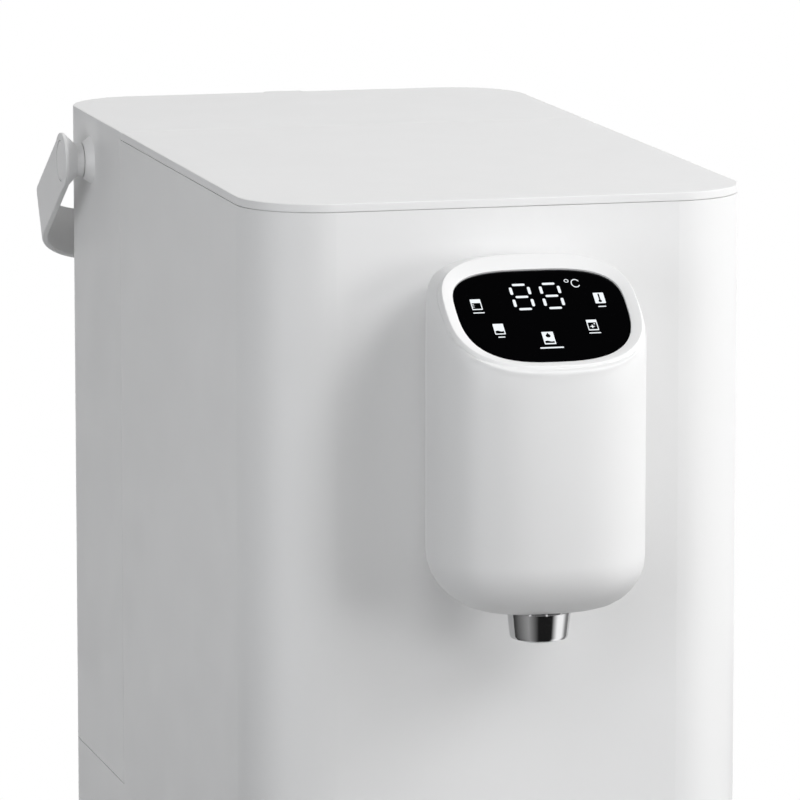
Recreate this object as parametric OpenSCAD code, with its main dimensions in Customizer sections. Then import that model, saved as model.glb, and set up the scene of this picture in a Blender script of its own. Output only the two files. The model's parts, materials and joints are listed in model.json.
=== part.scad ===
// Countertop water dispenser with a lift-off rear tank, a spout head with a slanted
// control glass, two filter cartridges under the top cover and a drip tray.
// Millimetres, +Z up, the front faces -Y, the counter is the plane z = 0.

/* [Body] */
// Width of the body across its flat sides
body_w = 200; // [190:1:220]
// Depth of the body from its front face to its rear face
body_d = 370; // [360:1:400]
// Height of the top face above the counter
body_h = 382; // [375:1:420]
// Radius of the four upright corners
corner_r = 32; // [26:1:36]
// Wall of the moulded housing and of the tank
wall_t = 2.6; // [2.2:0.1:3.2]
// Thickness of the top cover and of the tank lid
lid_t = 3.4; // [3:0.1:4.5]
// Width of the shadow seams between outer pieces
seam = 0.3; // [0.3:0.1:0.8]
// Depth of the shadow seams
seam_in = 0.9; // [0.6:0.1:1.2]
// Depth of the front section, up to the seam before the tank
front_d = 245; // [242:1:252]
// Height of the deck that carries the tank
deck_z = 105; // [103:1:115]
// Thickness of the deck plate
deck_t = 4; // [3:0.5:5]
// Thickness of the base plate
base_t = 4; // [3:0.5:5]

/* [Feet] */
// Height of the rubber feet below the base plate
foot_h = 4; // [3:0.5:6]
// Diameter of a rubber foot
foot_dia = 20; // [16:1:24]

/* [Spout head] */
// Width of the pod
head_w = 80.8; // [76:0.2:86]
// Depth of the pod in front of the body
head_d = 75.6; // [73:0.2:80]
// Drop of the pod's underside below the top face
head_drop = 151; // [145:1:160]
// Radius of the pod's lower edge
head_edge_r = 21; // [16:1:24]
// Wall of the pod
head_wall = 2.4; // [2:0.1:3]
// Squareness of the pod's plan, 2 is an ellipse
head_square = 2.7; // [2.4:0.1:3.2]
// Squareness of the rounded shoulder below the bezel
shoulder_square = 7; // [5:0.5:8]
// Drop of the shoulder's start below the top face
shoulder_drop = 67; // [65:1:75]
// Width of the neck between the body and the pod
neck_w = 50; // [40:1:56]
// Height of the neck
neck_h = 64; // [56:1:70]

/* [Control panel] */
// Tilt of the control glass from the horizontal
panel_tilt = 36; // [34:0.5:38]
// Distance of the panel's widest row in front of the body
panel_y = 46.8; // [45:0.2:48]
// Drop of the panel's widest row below the top face
panel_drop = 34.8; // [33:0.2:37]
// Half width of the glass
glass_half_w = 33.4; // [31:0.1:35]
// Length of the glass behind its widest row
glass_rear = 20.9; // [18:0.1:22]
// Length of the glass in front of its widest row
glass_front = 29.2; // [27:0.1:30]
// Thickness of the glass
glass_t = 1.6; // [1.2:0.1:2]
// Depth of the glass below the bezel's crest
glass_sunk = 1.6; // [1.2:0.1:1.8]
// Depth of the dished land's inner edge below the crest
bezel_dish = 0.8; // [0.5:0.1:0.9]
// Width of the bezel beside the glass
bezel_side = 5.3; // [4.5:0.1:6]
// Width of the bezel behind the glass
bezel_rear = 9.4; // [8:0.1:10]
// Width of the bezel in front of the glass
bezel_front = 3.8; // [3.4:0.1:4.4]
// Height of the bezel above its seat at the front, where it runs out into the pod
bezel_front_t = 1; // [0.8:0.1:1.6]
// Height of the bezel above its seat at the rear
bezel_rear_t = 4.2; // [3.6:0.1:4.6]

/* [Nozzle] */
// Distance of the nozzle's axis in front of the body
nozzle_y = 44; // [40:0.5:46]
// Diameter of the nozzle ring at its top
nozzle_top_dia = 24.4; // [23:0.2:26]
// Diameter of the nozzle ring at its mouth
nozzle_tip_dia = 22.2; // [20:0.2:24]
// Height of the ring below the pod
nozzle_h = 10.8; // [9:0.2:14]

/* [Tank handle] */
// Distance of the handle's pivots in front of the rear face
pivot_back = 64; // [60:0.5:70]
// Drop of the pivots below the top face
pivot_drop = 19.2; // [17:0.1:22]
// Width of the strap
strap_w = 23; // [20:0.5:24]
// Thickness of the strap
strap_t = 2.5; // [2:0.1:3]
// Outer radius of the strap's two corners
strap_r = 32; // [26:1:36]
// Angle at which the strap hangs below the horizontal
strap_hang = 30.5; // [28:0.5:36]
// Diameter of the coned disc at each end of the strap
pivot_disc_dia = 24; // [24:0.5:26]
// Depth of that disc from its outer face to the neck
pivot_disc_t = 6; // [5:0.1:6.5]
// Height of the flared boss on the tank's side
boss_h = 3.5; // [3:0.1:5]
// Diameter of the boss at the tank's side
boss_base_dia = 20.4; // [18:0.2:24]
// Diameter of the boss at its outer end
boss_tip_dia = 15.3; // [15:0.1:17]
// Length of the neck between the boss and the disc
pivot_neck = 3.3; // [3:0.1:5]
// Diameter of that neck
pivot_neck_dia = 14.5; // [13:0.1:14.8]

/* [Tank] */
// Distance of the outlet valve behind the tank's front face
valve_back = 34; // [30:1:50]
// Width of the finger tab on the tank lid
tab_w = 17.5; // [15:0.5:25]
// Reach of the finger tab behind the rear face
tab_reach = 3.5; // [2:0.5:5]
// Thickness of the finger tab
tab_t = 2; // [1.5:0.1:2.6]

/* [Filters] */
// Radius of a filter cartridge
filter_r = 40; // [36:0.5:41]
// Distance of the cartridges in front of the section's rear
filter_back = 58; // [54:1:64]
// Half of the spacing of the two cartridges
filter_half_gap = 46; // [45:0.5:48]
// Height of the service deck below the top face
service_drop = 40; // [36:1:44]

/* [Drip tray] */
// Reach of the drip tray in front of the body
tray_reach = 112; // [100:1:125]
// Width of the drip tray
tray_w = 150; // [130:1:165]
// Height of the drip tray
tray_h = 20; // [16:1:28]
// Corner radius of the drip tray
tray_r = 24; // [16:1:30]
// Wall of the drip tray
tray_wall = 2.2; // [1.8:0.1:3]
// Thickness of the drip grille
grille_t = 2; // [1.6:0.1:3]
// Width of a slot in the grille
slot_w = 4.4; // [3:0.1:6]
// Width of a bar between two slots
slot_bar = 3.2; // [2.4:0.1:5]

/* [Hidden] */
$fn = 64;

white = "#f1f2f1";
black = "#0b0c0d";
grey = "#8d9194";
steel = "#c3c6c8";
board_green = "#2f6b45";
milky = "#dfe6e8";

// Clearance of parts that drop or slide into each other
fit = 0.3;
// Radial clearance of turning pins in their bores
run = 0.05;
// Overlap that joins the primitives of one piece
lap = 0.2;

base_top = foot_h + base_t;
rim_z = body_h - lid_t;
inner_w = body_w - 2 * wall_t;
inner_r = corner_r - wall_t;
edge_r = 1.5;
shell_end = front_d - seam / 2;
tank_front = front_d + seam / 2;
ledge_w = 4;
ledge_h = 3;
rib_t = 2;
rib_h = 5;
rib_in = wall_t + 2 * fit;

// Bay wall that closes the front section towards the tank
bay_t = 2.4;
bay_y = shell_end - bay_t;

// Plates inside the housing
deck_bottom = deck_z - deck_t;
service_t = 2.6;
service_z = body_h - service_drop;

// Screws
screw_r = 1.7;
screw_head_r = 3.2;
screw_head_t = 2;
screw_len = 14;
screw_tip_gap = 1;
post_r = 4.5;
post_h = 18;
post_in = 16;

// Spout head
head_sides = 64;
head_gap = 0.4;
head_z = body_h - head_drop;
head_mid_y = -head_gap - head_d / 2;
shoulder_z = body_h - shoulder_drop;
edge_steps = 7;
shoulder_steps = 8;
seat_margin = 0.2;
pod_eye_r = 6;
panel_z = body_h - panel_drop;
neck_r = 8;
neck_wall = 3;
neck_in = 12;
neck_up = 30;
neck_z = head_z + neck_up;
flange_out = 9;
flange_t = 3;
neck_screw_x = neck_w / 2 + flange_out / 2;

// Display under the glass
digit_w = 27;
digit_l = 15;
digit_t = 2.4;
digit_up = 7;
board_t = 1.6;
board_in = 3.4;
glass_top = -glass_sunk;
glass_bottom = glass_top - glass_t;
digit_bottom = glass_bottom - digit_t;
glass_gap = 0.15;
bezel_lip = -0.22;
bezel_lip_t = 0.5;
bezel_floor = glass_bottom - bezel_lip_t;
bezel_inner_edge = 0.15;
bezel_ease = 0.05;
bezel_crest = 0.76;
bezel_round = 0.8;
bezel_flank = 1.5;
bezel_spread = 1.6;
bezel_rest = 0.34;
foot_front = glass_front + bezel_front;
foot_rear = glass_rear + bezel_rear;
bezel_steps = 6;

// Nozzle
nozzle_gap = 0.6;
nozzle_bore_r = 8.6;
nozzle_spigot_r = 10.2;
nozzle_up = 9;
insert_lip = 0.9;
insert_bore_r = 3.5;
insert_taper = 1.4;
mouth_edge = 1.2;
crown_edge = 0.5;
nozzle_tip = head_z - nozzle_gap - nozzle_h;

// Water tubes
tube_r = 4.5;
tube_bend = 16;

// Handle pivots
pivot_y = body_d - pivot_back;
pivot_z = body_h - pivot_drop;
pivot_half = body_w / 2;
spigot_r = 5;
spigot_len = 6.5;
boss_in = 6;
pin_screw_r = 2;
pin_head_r = 3.8;
pin_head_t = 2.3;
cap_r = 8.6;
cap_t = 1.5;
cap_sunk = 0.1;
cap_edge = 0.3;
cap_gap = 0.15;
head_clear = 0.2;
spigot_wall = 3;
pin_depth = 2.5;
pin_tip_gap = 0.5;
disc_in = pivot_half + boss_h + pivot_neck;
disc_out = disc_in + pivot_disc_t;
strap_touch = fit;
strap_inner = (pivot_back + strap_touch + strap_w / 2 * sin(strap_hang)) / cos(strap_hang);
strap_reach = strap_inner + strap_t;
disc_rim = 1.4;

// Finger tab of the tank lid
tab_root = 6;
tab_r = 1.8;

// Tank outlet valve
valve_y = tank_front + valve_back;
valve_r = 11.5;
valve_cavity_r = 9.2;
valve_nose = 14;
valve_floor_t = 3;
valve_hole_r = 5;
valve_flange_r = 17;
valve_flange_t = 3;
valve_rise = 22;
poppet_lift = 3;
poppet_r = 7.6;
poppet_t = 3;
stem_r = 2.4;
spring_r = 6;
spring_wire = 1;
cap_plate_t = 3;
seal_wire_r = 1.1;
seal_slack = 0.2;
seal_proud = 0.8;
seal_up = 7;
valve_window_w = 6;
valve_window_h = 9;
valve_window_up = 3;
stem_over = 1;
cap_vent_r = 1.3;
cap_vent_out = 6;
tank_floor_t = 3;
nose_z = deck_z - valve_nose;
seat_z = nose_z + valve_floor_t;
poppet_z = seat_z + poppet_lift;
cap_z = deck_z + tank_floor_t + valve_rise - cap_plate_t;

// Coupler in the deck
coupler_wall = 2.6;
coupler_bore_r = valve_r + seal_proud + fit + run;
coupler_r = coupler_bore_r + coupler_wall;
coupler_flange_w = 6;
coupler_flange_r = coupler_r + coupler_flange_w;
coupler_floor_gap = 2;
coupler_floor_z = nose_z - coupler_floor_gap;
coupler_floor_t = 3;
coupler_flange_t = 3;
coupler_pin_r = 2;
pin_gap = 0.1;
coupler_hole_r = 0.9;
coupler_hole_out = 3;
barb_r = 5;
barb_h = 12;
barb_bore_r = 3;

// Filters and manifold
filter_y = front_d - filter_back;
manifold_h = 18;
manifold_d = 60;
manifold_margin = 26;
manifold_r = 12;
socket_r = 14;
socket_depth = 12;
filter_gap = 1;
filter_hole_gap = 1.5;
filter_rise = 12;
filter_z = deck_z + manifold_h + filter_gap;
filter_top = service_z + filter_rise;
spigot_clear = 0.5;
filter_edge = 6;
grip_w = 12;
grip_l = 56;
grip_h = 14;

// Drip tray and its tongue
tray_z = base_top;
tray_floor_t = 2.2;
tray_gap = 1;
tray_top = tray_z + tray_h;
grille_ledge = 3;
grille_sunk = 0.6;
grille_z = tray_top - grille_t - grille_sunk;
tray_rear_r = 4;
tongue_in = 20;
tongue_back = 18;
tongue_w = tray_w - 2 * tongue_in;
tongue_reach = tray_reach - tongue_back;
tongue_r = tray_r - tray_wall - grille_ledge;
foot_margin = 4;
foot_edge = 1.5;
foot_pin_r = foot_dia / 6;
foot_pin_short = 0.5;
slot_margin = 9;

// Rear panel
window_w = 112;
window_h = 62;
window_z = base_top + 14;
panel_lip = 9;
panel_over = 5;
panel_t = 2.6;
panel_sunk = 0.4;
panel_boss_r = 4;
panel_boss_h = 7;
rear_screw_len = 11;
inlet_w = 27.4;
inlet_h = 20;
inlet_in = 20;
inlet_x = window_w / 2 - inlet_in;
inlet_depth = 24;
inlet_flange = 3;
inlet_flange_t = 2.4;
inlet_wall = 1.8;
inlet_floor_t = 5;
inlet_tail = 6;
inlet_mid_z = window_z + window_h / 2;
inlet_pin_w = 2;
inlet_pin_h = 4;
inlet_pin_places = [[-7, -2], [7, -2], [0, 2]];
vent_in = 8;
vent_w = 3;
vent_step = 7;
vent_len = 40;
vents = 9;

// Booster pump with its motor and saddles
pump_x = -48;
pump_rear = 72;
pump_y = body_d - pump_rear;
pump_r = 24;
pump_len = 44;
pump_nose_r = 19;
pump_nose = 6;
motor_r = 21;
motor_len = 48;
motor_end_r = 7;
motor_end = 4;
mount_h = 8;
mount_w = 36;
mount_d = 12;
mount_lap = 6;
mount_step = 22;
pump_z = base_top + mount_h + pump_r;

// Power board on the base plate
board_x = 20;
board_rear = 124;
board_y = body_d - board_rear;
power_w = 68;
power_d = 78;
power_t = 1.8;
stand_r = 3;
stand_h = 8;
stand_in = 4;
choke_w = 24;
choke_d = 28;
choke_h = 24;
can_r = 9;
can_h = 28;
sink_w = 40;
sink_d = 8;
sink_h = 18;

// Hot-water run through the neck, with the heater and the pure-water tank below it
hot_up = 20;
hot_stub = 18;
hot_z = neck_z + hot_up;
heater_h = 62;
heater_top = hot_z - tube_bend - hot_stub;

// Pure-water tank on the deck
pure_y = 14;
pure_d = 112;
pure_w = 168;
pure_r = 14;
pure_top = heater_top - heater_h;
pure_h = pure_top - deck_z;
pure_cap_r = 10;
pure_cap_h = 4;
pure_cap_x = 48;
pure_cap_y = pure_y + 20;

// Heater, dispensing pump and solenoid valve on the pure-water tank
heater_y = 70;
heater_r = 25;
heater_step = 8;
heater_cap_r = 19;
heater_flange_r = 30;
heater_flange_t = 4;
sensor_w = 16;
sensor_d = 6;
sensor_h = 14;
sensor_up = 24;
dispense_x = -54;
dispense_plate = 40;
dispense_plate_t = 3;
dispense_r = 17;
dispense_h = 30;
dispense_motor_r = 12;
dispense_motor_h = 52;
solenoid_x = 58;
solenoid_w = 28;
solenoid_d = 40;
solenoid_h = 16;
coil_r = 11;
coil_h = 26;

// Origin: middle of the footprint from the tray's front to the strap's rear
rear_reach = pivot_y + strap_reach * cos(strap_hang) + strap_w / 2 * sin(strap_hang);
mid_y = (rear_reach - tray_reach) / 2;

module placed() {
  translate([0, -mid_y, 0]) children();
}

// Rounded rectangle from y0 to y1 with front corners rf and rear corners rr
module plan(w, y0, y1, rf, rr) {
  half = (y1 - y0) / 2;
  translate([-w / 2, y0 + rf]) square([w, y1 - y0 - rf - rr]);
  translate([-w / 2 + rf, y0]) square([w - 2 * rf, half]);
  translate([-w / 2 + rr, y1 - half]) square([w - 2 * rr, half]);
  for (s = [-1, 1]) {
    translate([s * (w / 2 - rf), y0 + rf]) circle(rf);
    translate([s * (w / 2 - rr), y1 - rr]) circle(rr);
  }
}

module slab(z, h) {
  translate([0, 0, z]) linear_extrude(h) children();
}

// Plan of the whole body drawn in by d
module body_plan(d) {
  plan(body_w - 2 * d, d, body_d - d, corner_r - d, corner_r - d);
}

// Plan of the front section, drawn in by d
module front_plan(d) {
  plan(body_w - 2 * d, d, shell_end - d, corner_r - d, edge_r);
}

// Plan of the tank, drawn in by d
module tank_plan(d) {
  plan(body_w - 2 * d, tank_front + d, body_d - d, edge_r, corner_r - d);
}

// Centres of the four screw posts in the corners of the housing
post_places = [
  for (x = [-1, 1], y = [post_in, body_d - post_in])
  [x * (body_w / 2 - post_in), y]
];

// Direction from a post to the corner of the housing
function corner_angle(p) = atan2(p[1] < body_d / 2 ? -1 : 1, sign(p[0]));

// Length of the rib that joins a post to the round corner
post_rib = corner_r - wall_t / 2 - sqrt(2) * (corner_r - post_in);

// Centres of the feet: four under the body, two under the tray's tongue
foot_inset = corner_r;
foot_places = [
  for (x = [-1, 1])
  for (p = [
    [body_w / 2 - foot_inset, foot_inset],
    [body_w / 2 - foot_inset, body_d - foot_inset],
    [tongue_w / 2 - foot_dia / 2 - foot_margin, -tongue_reach + foot_dia / 2 + foot_margin]
  ])
  [x * p[0], p[1]]
];

// Power of a number that keeps its sign, for superellipses
function spow(v, e) = sign(v) * pow(abs(v), e);

// Point at angle t of an oval with its own length behind and before its widest row
function oval_point(t, half_w, rear, front, n_rear, n_front) =
  let (n = sin(t) >= 0 ? n_rear : n_front)
  [half_w * spow(cos(t), 2 / n), (sin(t) >= 0 ? rear : front) * spow(sin(t), 2 / n)];

// Outline of the glass drawn in by d
function glass_point(t, d) =
  oval_point(t, glass_half_w - d, glass_rear - d, glass_front - d, 3.2, 2.8);

// Outline of the bezel's foot on the pod, grown by d
function bezel_point(t, d) =
  oval_point(
    t,
    glass_half_w + bezel_side + d,
    foot_rear + d,
    foot_front + d,
    2.8,
    2.7
  );

// Depth of the bezel's sloping seat below the panel's plane at point p
function seat_depth(p) =
  bezel_front_t
  + (bezel_rear_t - bezel_front_t) * (p[1] + foot_front) / (foot_front + foot_rear);

// Point of the panel's plane in the part's axes
function panel_at(p, h) = [
  p[0],
  -panel_y + p[1] * cos(panel_tilt) - h * sin(panel_tilt),
  panel_z + p[1] * sin(panel_tilt) + h * cos(panel_tilt)
];

// Closed surface through a loop of rings, each with the same number of points
module ring_loop(rings) {
  count = len(rings);
  sides = len(rings[0]);
  polyhedron(
    points = [for (r = rings, p = r) p],
    faces = [
      for (i = [0:count - 1], j = [0:sides - 1])
      let (a = i * sides, b = ((i + 1) % count) * sides, k = (j + 1) % sides)
      each [[a + j, b + j, b + k], [a + j, b + k, a + k]]
    ]
  );
}

module panel_frame() {
  translate([0, -panel_y, panel_z]) rotate([panel_tilt, 0, 0]) children();
}

angles = [for (i = [0:head_sides - 1]) 360 * i / head_sides];

// Ring of the pod's plan drawn in by d at height z
function pod_ring(d, z) = [
  for (t = angles)
  let (p = oval_point(t, head_w / 2 - d, head_d / 2 - d, head_d / 2 - d, head_square, head_square))
  [p[0], head_mid_y + p[1], z]
];

// Ring round the nozzle's eye in the pod's floor
function eye_ring(z) = [
  for (t = angles)
  [pod_eye_r * cos(t), -nozzle_y + pod_eye_r * sin(t), z]
];

// Ring between the pod's wall and the bezel's seat, at angle a of the shoulder's arc
function shoulder_ring(d, a) =
  let (
    wall = pod_ring(d, shoulder_z),
    out = pow(cos(a), 2 / shoulder_square),
    up = pow(sin(a), 2 / shoulder_square)
  )
  [
    for (i = [0:head_sides - 1])
    let (q = bezel_point(angles[i], seat_margin - d), s = panel_at(q, -seat_depth(q)))
    [
      s[0] + (wall[i][0] - s[0]) * out,
      s[1] + (wall[i][1] - s[1]) * out,
      shoulder_z + (s[2] - shoulder_z) * up
    ]
  ];

// Wall of the pod from the nozzle's eye to the bezel's seat, drawn in by d
function pod_wall(d) =
  let (r = head_edge_r - d)
  [
    eye_ring(head_z + d),
    for (i = [0:edge_steps])
    let (b = 90 * i / edge_steps)
    pod_ring(d + r * (1 - sin(b)), head_z + d + r * (1 - cos(b))),
    for (i = [0:shoulder_steps]) shoulder_ring(d, 90 * i / shoulder_steps)
  ];

function reversed(v) = [for (i = [len(v) - 1:-1:0]) v[i]];

// Rounded cylinder along +Z, edge r at its top
module domed_disc(r, h, edge) {
  rotate_extrude() {
    square([r - edge, h]);
    square([r, h - edge]);
    translate([r - edge, h - edge]) circle(edge, $fn = 32);
  }
}

module screw(head_r, head_t, shank_r, length) {
  cylinder(r = head_r, h = head_t);
  translate([0, 0, -length]) cylinder(r = shank_r, h = length + lap);
}

// Children turned so that their +Z points out of the left or right side
module on_side(s) {
  translate([0, pivot_y, pivot_z]) rotate([0, 90 * s, 0]) children();
}

// Row of holes on the rear face, at the panel's four corners
module at_rear_screws() {
  for (x = [-1, 1], z = [0, 1]) {
    translate([
      x * (window_w / 2 + panel_lip / 2),
      body_d,
      window_z + window_h / 2 + (z - 0.5) * (window_h - 2 * panel_lip)
    ]) rotate([-90, 0, 0]) children();
  }
}

// Bent water tube from [y0, z0], up or down to the run at height z, then to [y1, z1]
module bent_tube(x, y0, z0, z, y1, z1) {
  s0 = z0 < z ? 1 : -1;
  s1 = z1 < z ? 1 : -1;
  dir = y1 < y0 ? -1 : 1;
  translate([x, y0, min(z0, z - s0 * tube_bend)]) {
    cylinder(r = tube_r, h = abs(z - s0 * tube_bend - z0));
  }
  translate([x, y1, min(z1, z - s1 * tube_bend)]) {
    cylinder(r = tube_r, h = abs(z - s1 * tube_bend - z1));
  }
  translate([x, y0 + dir * tube_bend, z - s0 * tube_bend]) {
    tube_elbow(-dir, s0);
  }
  translate([x, y1 - dir * tube_bend, z - s1 * tube_bend]) {
    tube_elbow(dir, s1);
  }
  translate([x, min(y0, y1) + tube_bend, z]) {
    rotate([-90, 0, 0]) cylinder(r = tube_r, h = abs(y1 - y0) - 2 * tube_bend);
  }
}

// Quarter bend in the Y-Z plane, towards side sy in Y and side sz in Z
module tube_elbow(sy, sz) {
  turn = sz > 0 ? (sy > 0 ? 0 : 90) : (sy > 0 ? 270 : 180);
  rotate([90, 0, 90]) rotate_extrude(angle = 90, start = turn) {
    translate([tube_bend, 0]) circle(tube_r, $fn = 32);
  }
}

// Housing

module outer_shell() color(white) placed() {
  difference() {
    union() {
      difference() {
        slab(base_top, rim_z - base_top) body_plan(0);
        slab(base_top - 1, body_h) body_plan(wall_t);
      }
      slab(deck_bottom - ledge_h, ledge_h) difference() {
        body_plan(wall_t / 2);
        body_plan(wall_t + ledge_w);
      }
      slab(service_z - ledge_h, ledge_h) difference() {
        body_plan(wall_t / 2);
        body_plan(wall_t + ledge_w);
        translate([-body_w / 2, bay_y - fit]) square([body_w, body_d]);
      }
      for (p = post_places) {
        translate([p[0], p[1], base_top]) cylinder(r = post_r, h = post_h);
        translate([p[0], p[1], base_top]) rotate([0, 0, corner_angle(p)]) {
          translate([0, -wall_t / 2, 0]) cube([post_rib, wall_t, post_h]);
        }
      }
    }
    translate([-body_w / 2 - 1, shell_end, deck_z]) cube([body_w + 2, body_d, body_h]);
    translate([0, wall_t + lap, 0]) rotate([90, 0, 0]) slab(0, wall_t + 2 * lap) {
      neck_plan(fit);
    }
    for (x = [-1, 1], z = [0, 1]) {
      translate([x * neck_screw_x, -lap, neck_z + z * neck_h]) {
        rotate([-90, 0, 0]) cylinder(r = screw_r + run, h = wall_t + 2 * lap);
      }
    }
    translate([-window_w / 2, body_d - wall_t - lap, window_z]) {
      cube([window_w, wall_t + 2 * lap, window_h]);
    }
    at_rear_screws() translate([0, 0, -wall_t - lap]) {
      cylinder(r = screw_r + run, h = wall_t + 2 * lap);
    }
    for (p = post_places) {
      translate([p[0], p[1], base_top - lap]) {
        cylinder(r = screw_r + run, h = screw_len + screw_head_t + foot_h - base_top + screw_tip_gap);
      }
    }
  }
}

module base_plate() color(white) placed() {
  difference() {
    union() {
      slab(foot_h, base_t) body_plan(seam_in);
      slab(foot_h, base_t) {
        plan(tongue_w, -tongue_reach, corner_r, tongue_r, tongue_r);
      }
    }
    for (p = foot_places) {
      translate([p[0], p[1], foot_h - lap]) cylinder(r = foot_pin_r + run, h = base_t + 2 * lap);
    }
    for (p = post_places) {
      translate([p[0], p[1], foot_h - lap]) {
        cylinder(r = screw_r + fit, h = base_t + 2 * lap);
        cylinder(r = screw_head_r + fit, h = screw_head_t + lap);
      }
    }
  }
}

module feet() color(black) placed() {
  for (p = foot_places) translate([p[0], p[1], 0]) {
    rotate_extrude() polygon([
      [0, 0],
      [foot_dia / 2 - foot_edge, 0],
      [foot_dia / 2, foot_edge],
      [foot_dia / 2, foot_h],
      [foot_pin_r, foot_h],
      [foot_pin_r, base_top - foot_pin_short],
      [0, base_top - foot_pin_short]
    ]);
  }
}

module base_screws() color(steel) placed() {
  for (p = post_places) {
    translate([p[0], p[1], foot_h + screw_head_t]) rotate([180, 0, 0]) {
      screw(screw_head_r, screw_head_t, screw_r, screw_len);
    }
  }
}

module rear_panel() color(grey) placed() {
  wide = window_w + 2 * panel_lip;
  tall = window_h + 2 * panel_over;
  difference() {
    union() {
      translate([-window_w / 2 + fit, body_d - wall_t - lap, window_z + fit]) {
        cube([window_w - 2 * fit, wall_t + lap - panel_sunk, window_h - 2 * fit]);
      }
      translate([-wide / 2, body_d - wall_t - panel_t, window_z - panel_over]) {
        cube([wide, panel_t, tall]);
      }
      at_rear_screws() translate([0, 0, -wall_t - panel_t - panel_boss_h]) {
        cylinder(r = panel_boss_r, h = panel_boss_h + lap);
      }
    }
    translate([inlet_x - inlet_w / 2, body_d - wall_t - panel_t - 1, inlet_mid_z - inlet_h / 2]) {
      cube([inlet_w, wall_t + panel_t + 2, inlet_h]);
    }
    for (i = [0:vents - 1]) {
      translate([
        -window_w / 2 + vent_in + i * vent_step,
        body_d - wall_t - panel_t - 1,
        window_z + (window_h - vent_len) / 2
      ]) cube([vent_w, wall_t + panel_t + 2, vent_len]);
    }
    at_rear_screws() translate([0, 0, -screw_len + 1]) cylinder(r = screw_r + run, h = screw_len);
  }
}

module rear_screws() color(steel) placed() {
  at_rear_screws() screw(screw_head_r, screw_head_t, screw_r, rear_screw_len);
}

// Appliance inlet: a flanged socket with three flat pins
module inlet_socket() color(black) placed() {
  translate([inlet_x, body_d - panel_sunk, inlet_mid_z]) difference() {
    union() {
      translate([-inlet_w / 2 - inlet_flange, 0, -inlet_h / 2 - inlet_flange]) {
        cube([inlet_w + 2 * inlet_flange, inlet_flange_t, inlet_h + 2 * inlet_flange]);
      }
      translate([-inlet_w / 2 + fit, -inlet_depth, -inlet_h / 2 + fit]) {
        cube([inlet_w - 2 * fit, inlet_depth + lap, inlet_h - 2 * fit]);
      }
    }
    translate([-inlet_w / 2 + inlet_wall, -inlet_depth + inlet_floor_t, -inlet_h / 2 + inlet_wall]) {
      cube([inlet_w - 2 * inlet_wall, inlet_depth, inlet_h - 2 * inlet_wall]);
    }
    for (p = inlet_pin_places) {
      translate([p[0] - inlet_pin_w / 2 - run, -inlet_depth - lap, p[1] - inlet_pin_h / 2 - run]) {
        cube([inlet_pin_w + 2 * run, inlet_floor_t + 2 * lap, inlet_pin_h + 2 * run]);
      }
    }
  }
}

module inlet_pins() color(steel) placed() {
  translate([inlet_x, body_d - panel_sunk, inlet_mid_z]) for (p = inlet_pin_places) {
    translate([p[0] - inlet_pin_w / 2, -inlet_depth - inlet_tail, p[1] - inlet_pin_h / 2]) {
      cube([inlet_pin_w, inlet_depth, inlet_pin_h]);
    }
  }
}

module tank_deck() color(grey) placed() {
  difference() {
    slab(deck_bottom, deck_t) body_plan(wall_t + fit);
    translate([0, valve_y, deck_bottom - lap]) {
      cylinder(r = coupler_r + fit, h = deck_t + 2 * lap);
    }
  }
}

module bay_wall() color(white) placed() {
  translate([-inner_w / 2 + fit, bay_y, deck_z]) {
    cube([inner_w - 2 * fit, bay_t, rim_z - deck_z]);
  }
}

module service_deck() color(grey) placed() {
  difference() {
    slab(service_z, service_t) {
      plan(inner_w - 2 * fit, wall_t + fit, bay_y - fit, inner_r - fit, edge_r);
    }
    for (x = [-1, 1]) {
      translate([x * filter_half_gap, filter_y, service_z - lap]) {
        cylinder(r = filter_r + filter_hole_gap, h = service_t + 2 * lap);
      }
    }
  }
}

// Cup that takes the tank's valve; its centre pin holds the poppet open
module tank_coupler() color(milky) placed() {
  cup_bottom = coupler_floor_z - coupler_floor_t;
  translate([0, valve_y, 0]) difference() {
    rotate_extrude() difference() {
      union() {
        translate([0, cup_bottom]) square([coupler_r, deck_z - fit - cup_bottom]);
        translate([0, deck_bottom - coupler_flange_t]) square([coupler_flange_r, coupler_flange_t]);
        translate([0, cup_bottom - barb_h]) square([barb_r, barb_h + lap]);
      }
      translate([coupler_pin_r, coupler_floor_z]) {
        square([coupler_bore_r - coupler_pin_r, deck_z]);
      }
      translate([-lap, poppet_z - pin_gap]) square([coupler_bore_r + lap, deck_z]);
    }
    translate([0, 0, cup_bottom - barb_h - lap]) {
      cylinder(r = barb_bore_r, h = barb_h + coupler_floor_t / 2);
    }
    for (a = [0, 120, 240]) {
      rotate([0, 0, a]) translate([coupler_hole_out, 0, cup_bottom]) {
        cylinder(r = coupler_hole_r, h = coupler_floor_t + lap);
      }
    }
  }
}

// Water path inside the housing

module filter_manifold() color(milky) placed() {
  difference() {
    slab(deck_z, manifold_h) {
      plan(
        2 * (filter_half_gap + manifold_margin),
        filter_y - manifold_d / 2,
        filter_y + manifold_d / 2,
        manifold_r,
        manifold_r
      );
    }
    for (x = [-1, 1]) {
      translate([x * filter_half_gap, filter_y, deck_z + manifold_h - socket_depth]) {
        cylinder(r = socket_r, h = socket_depth + lap);
      }
    }
  }
}

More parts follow.
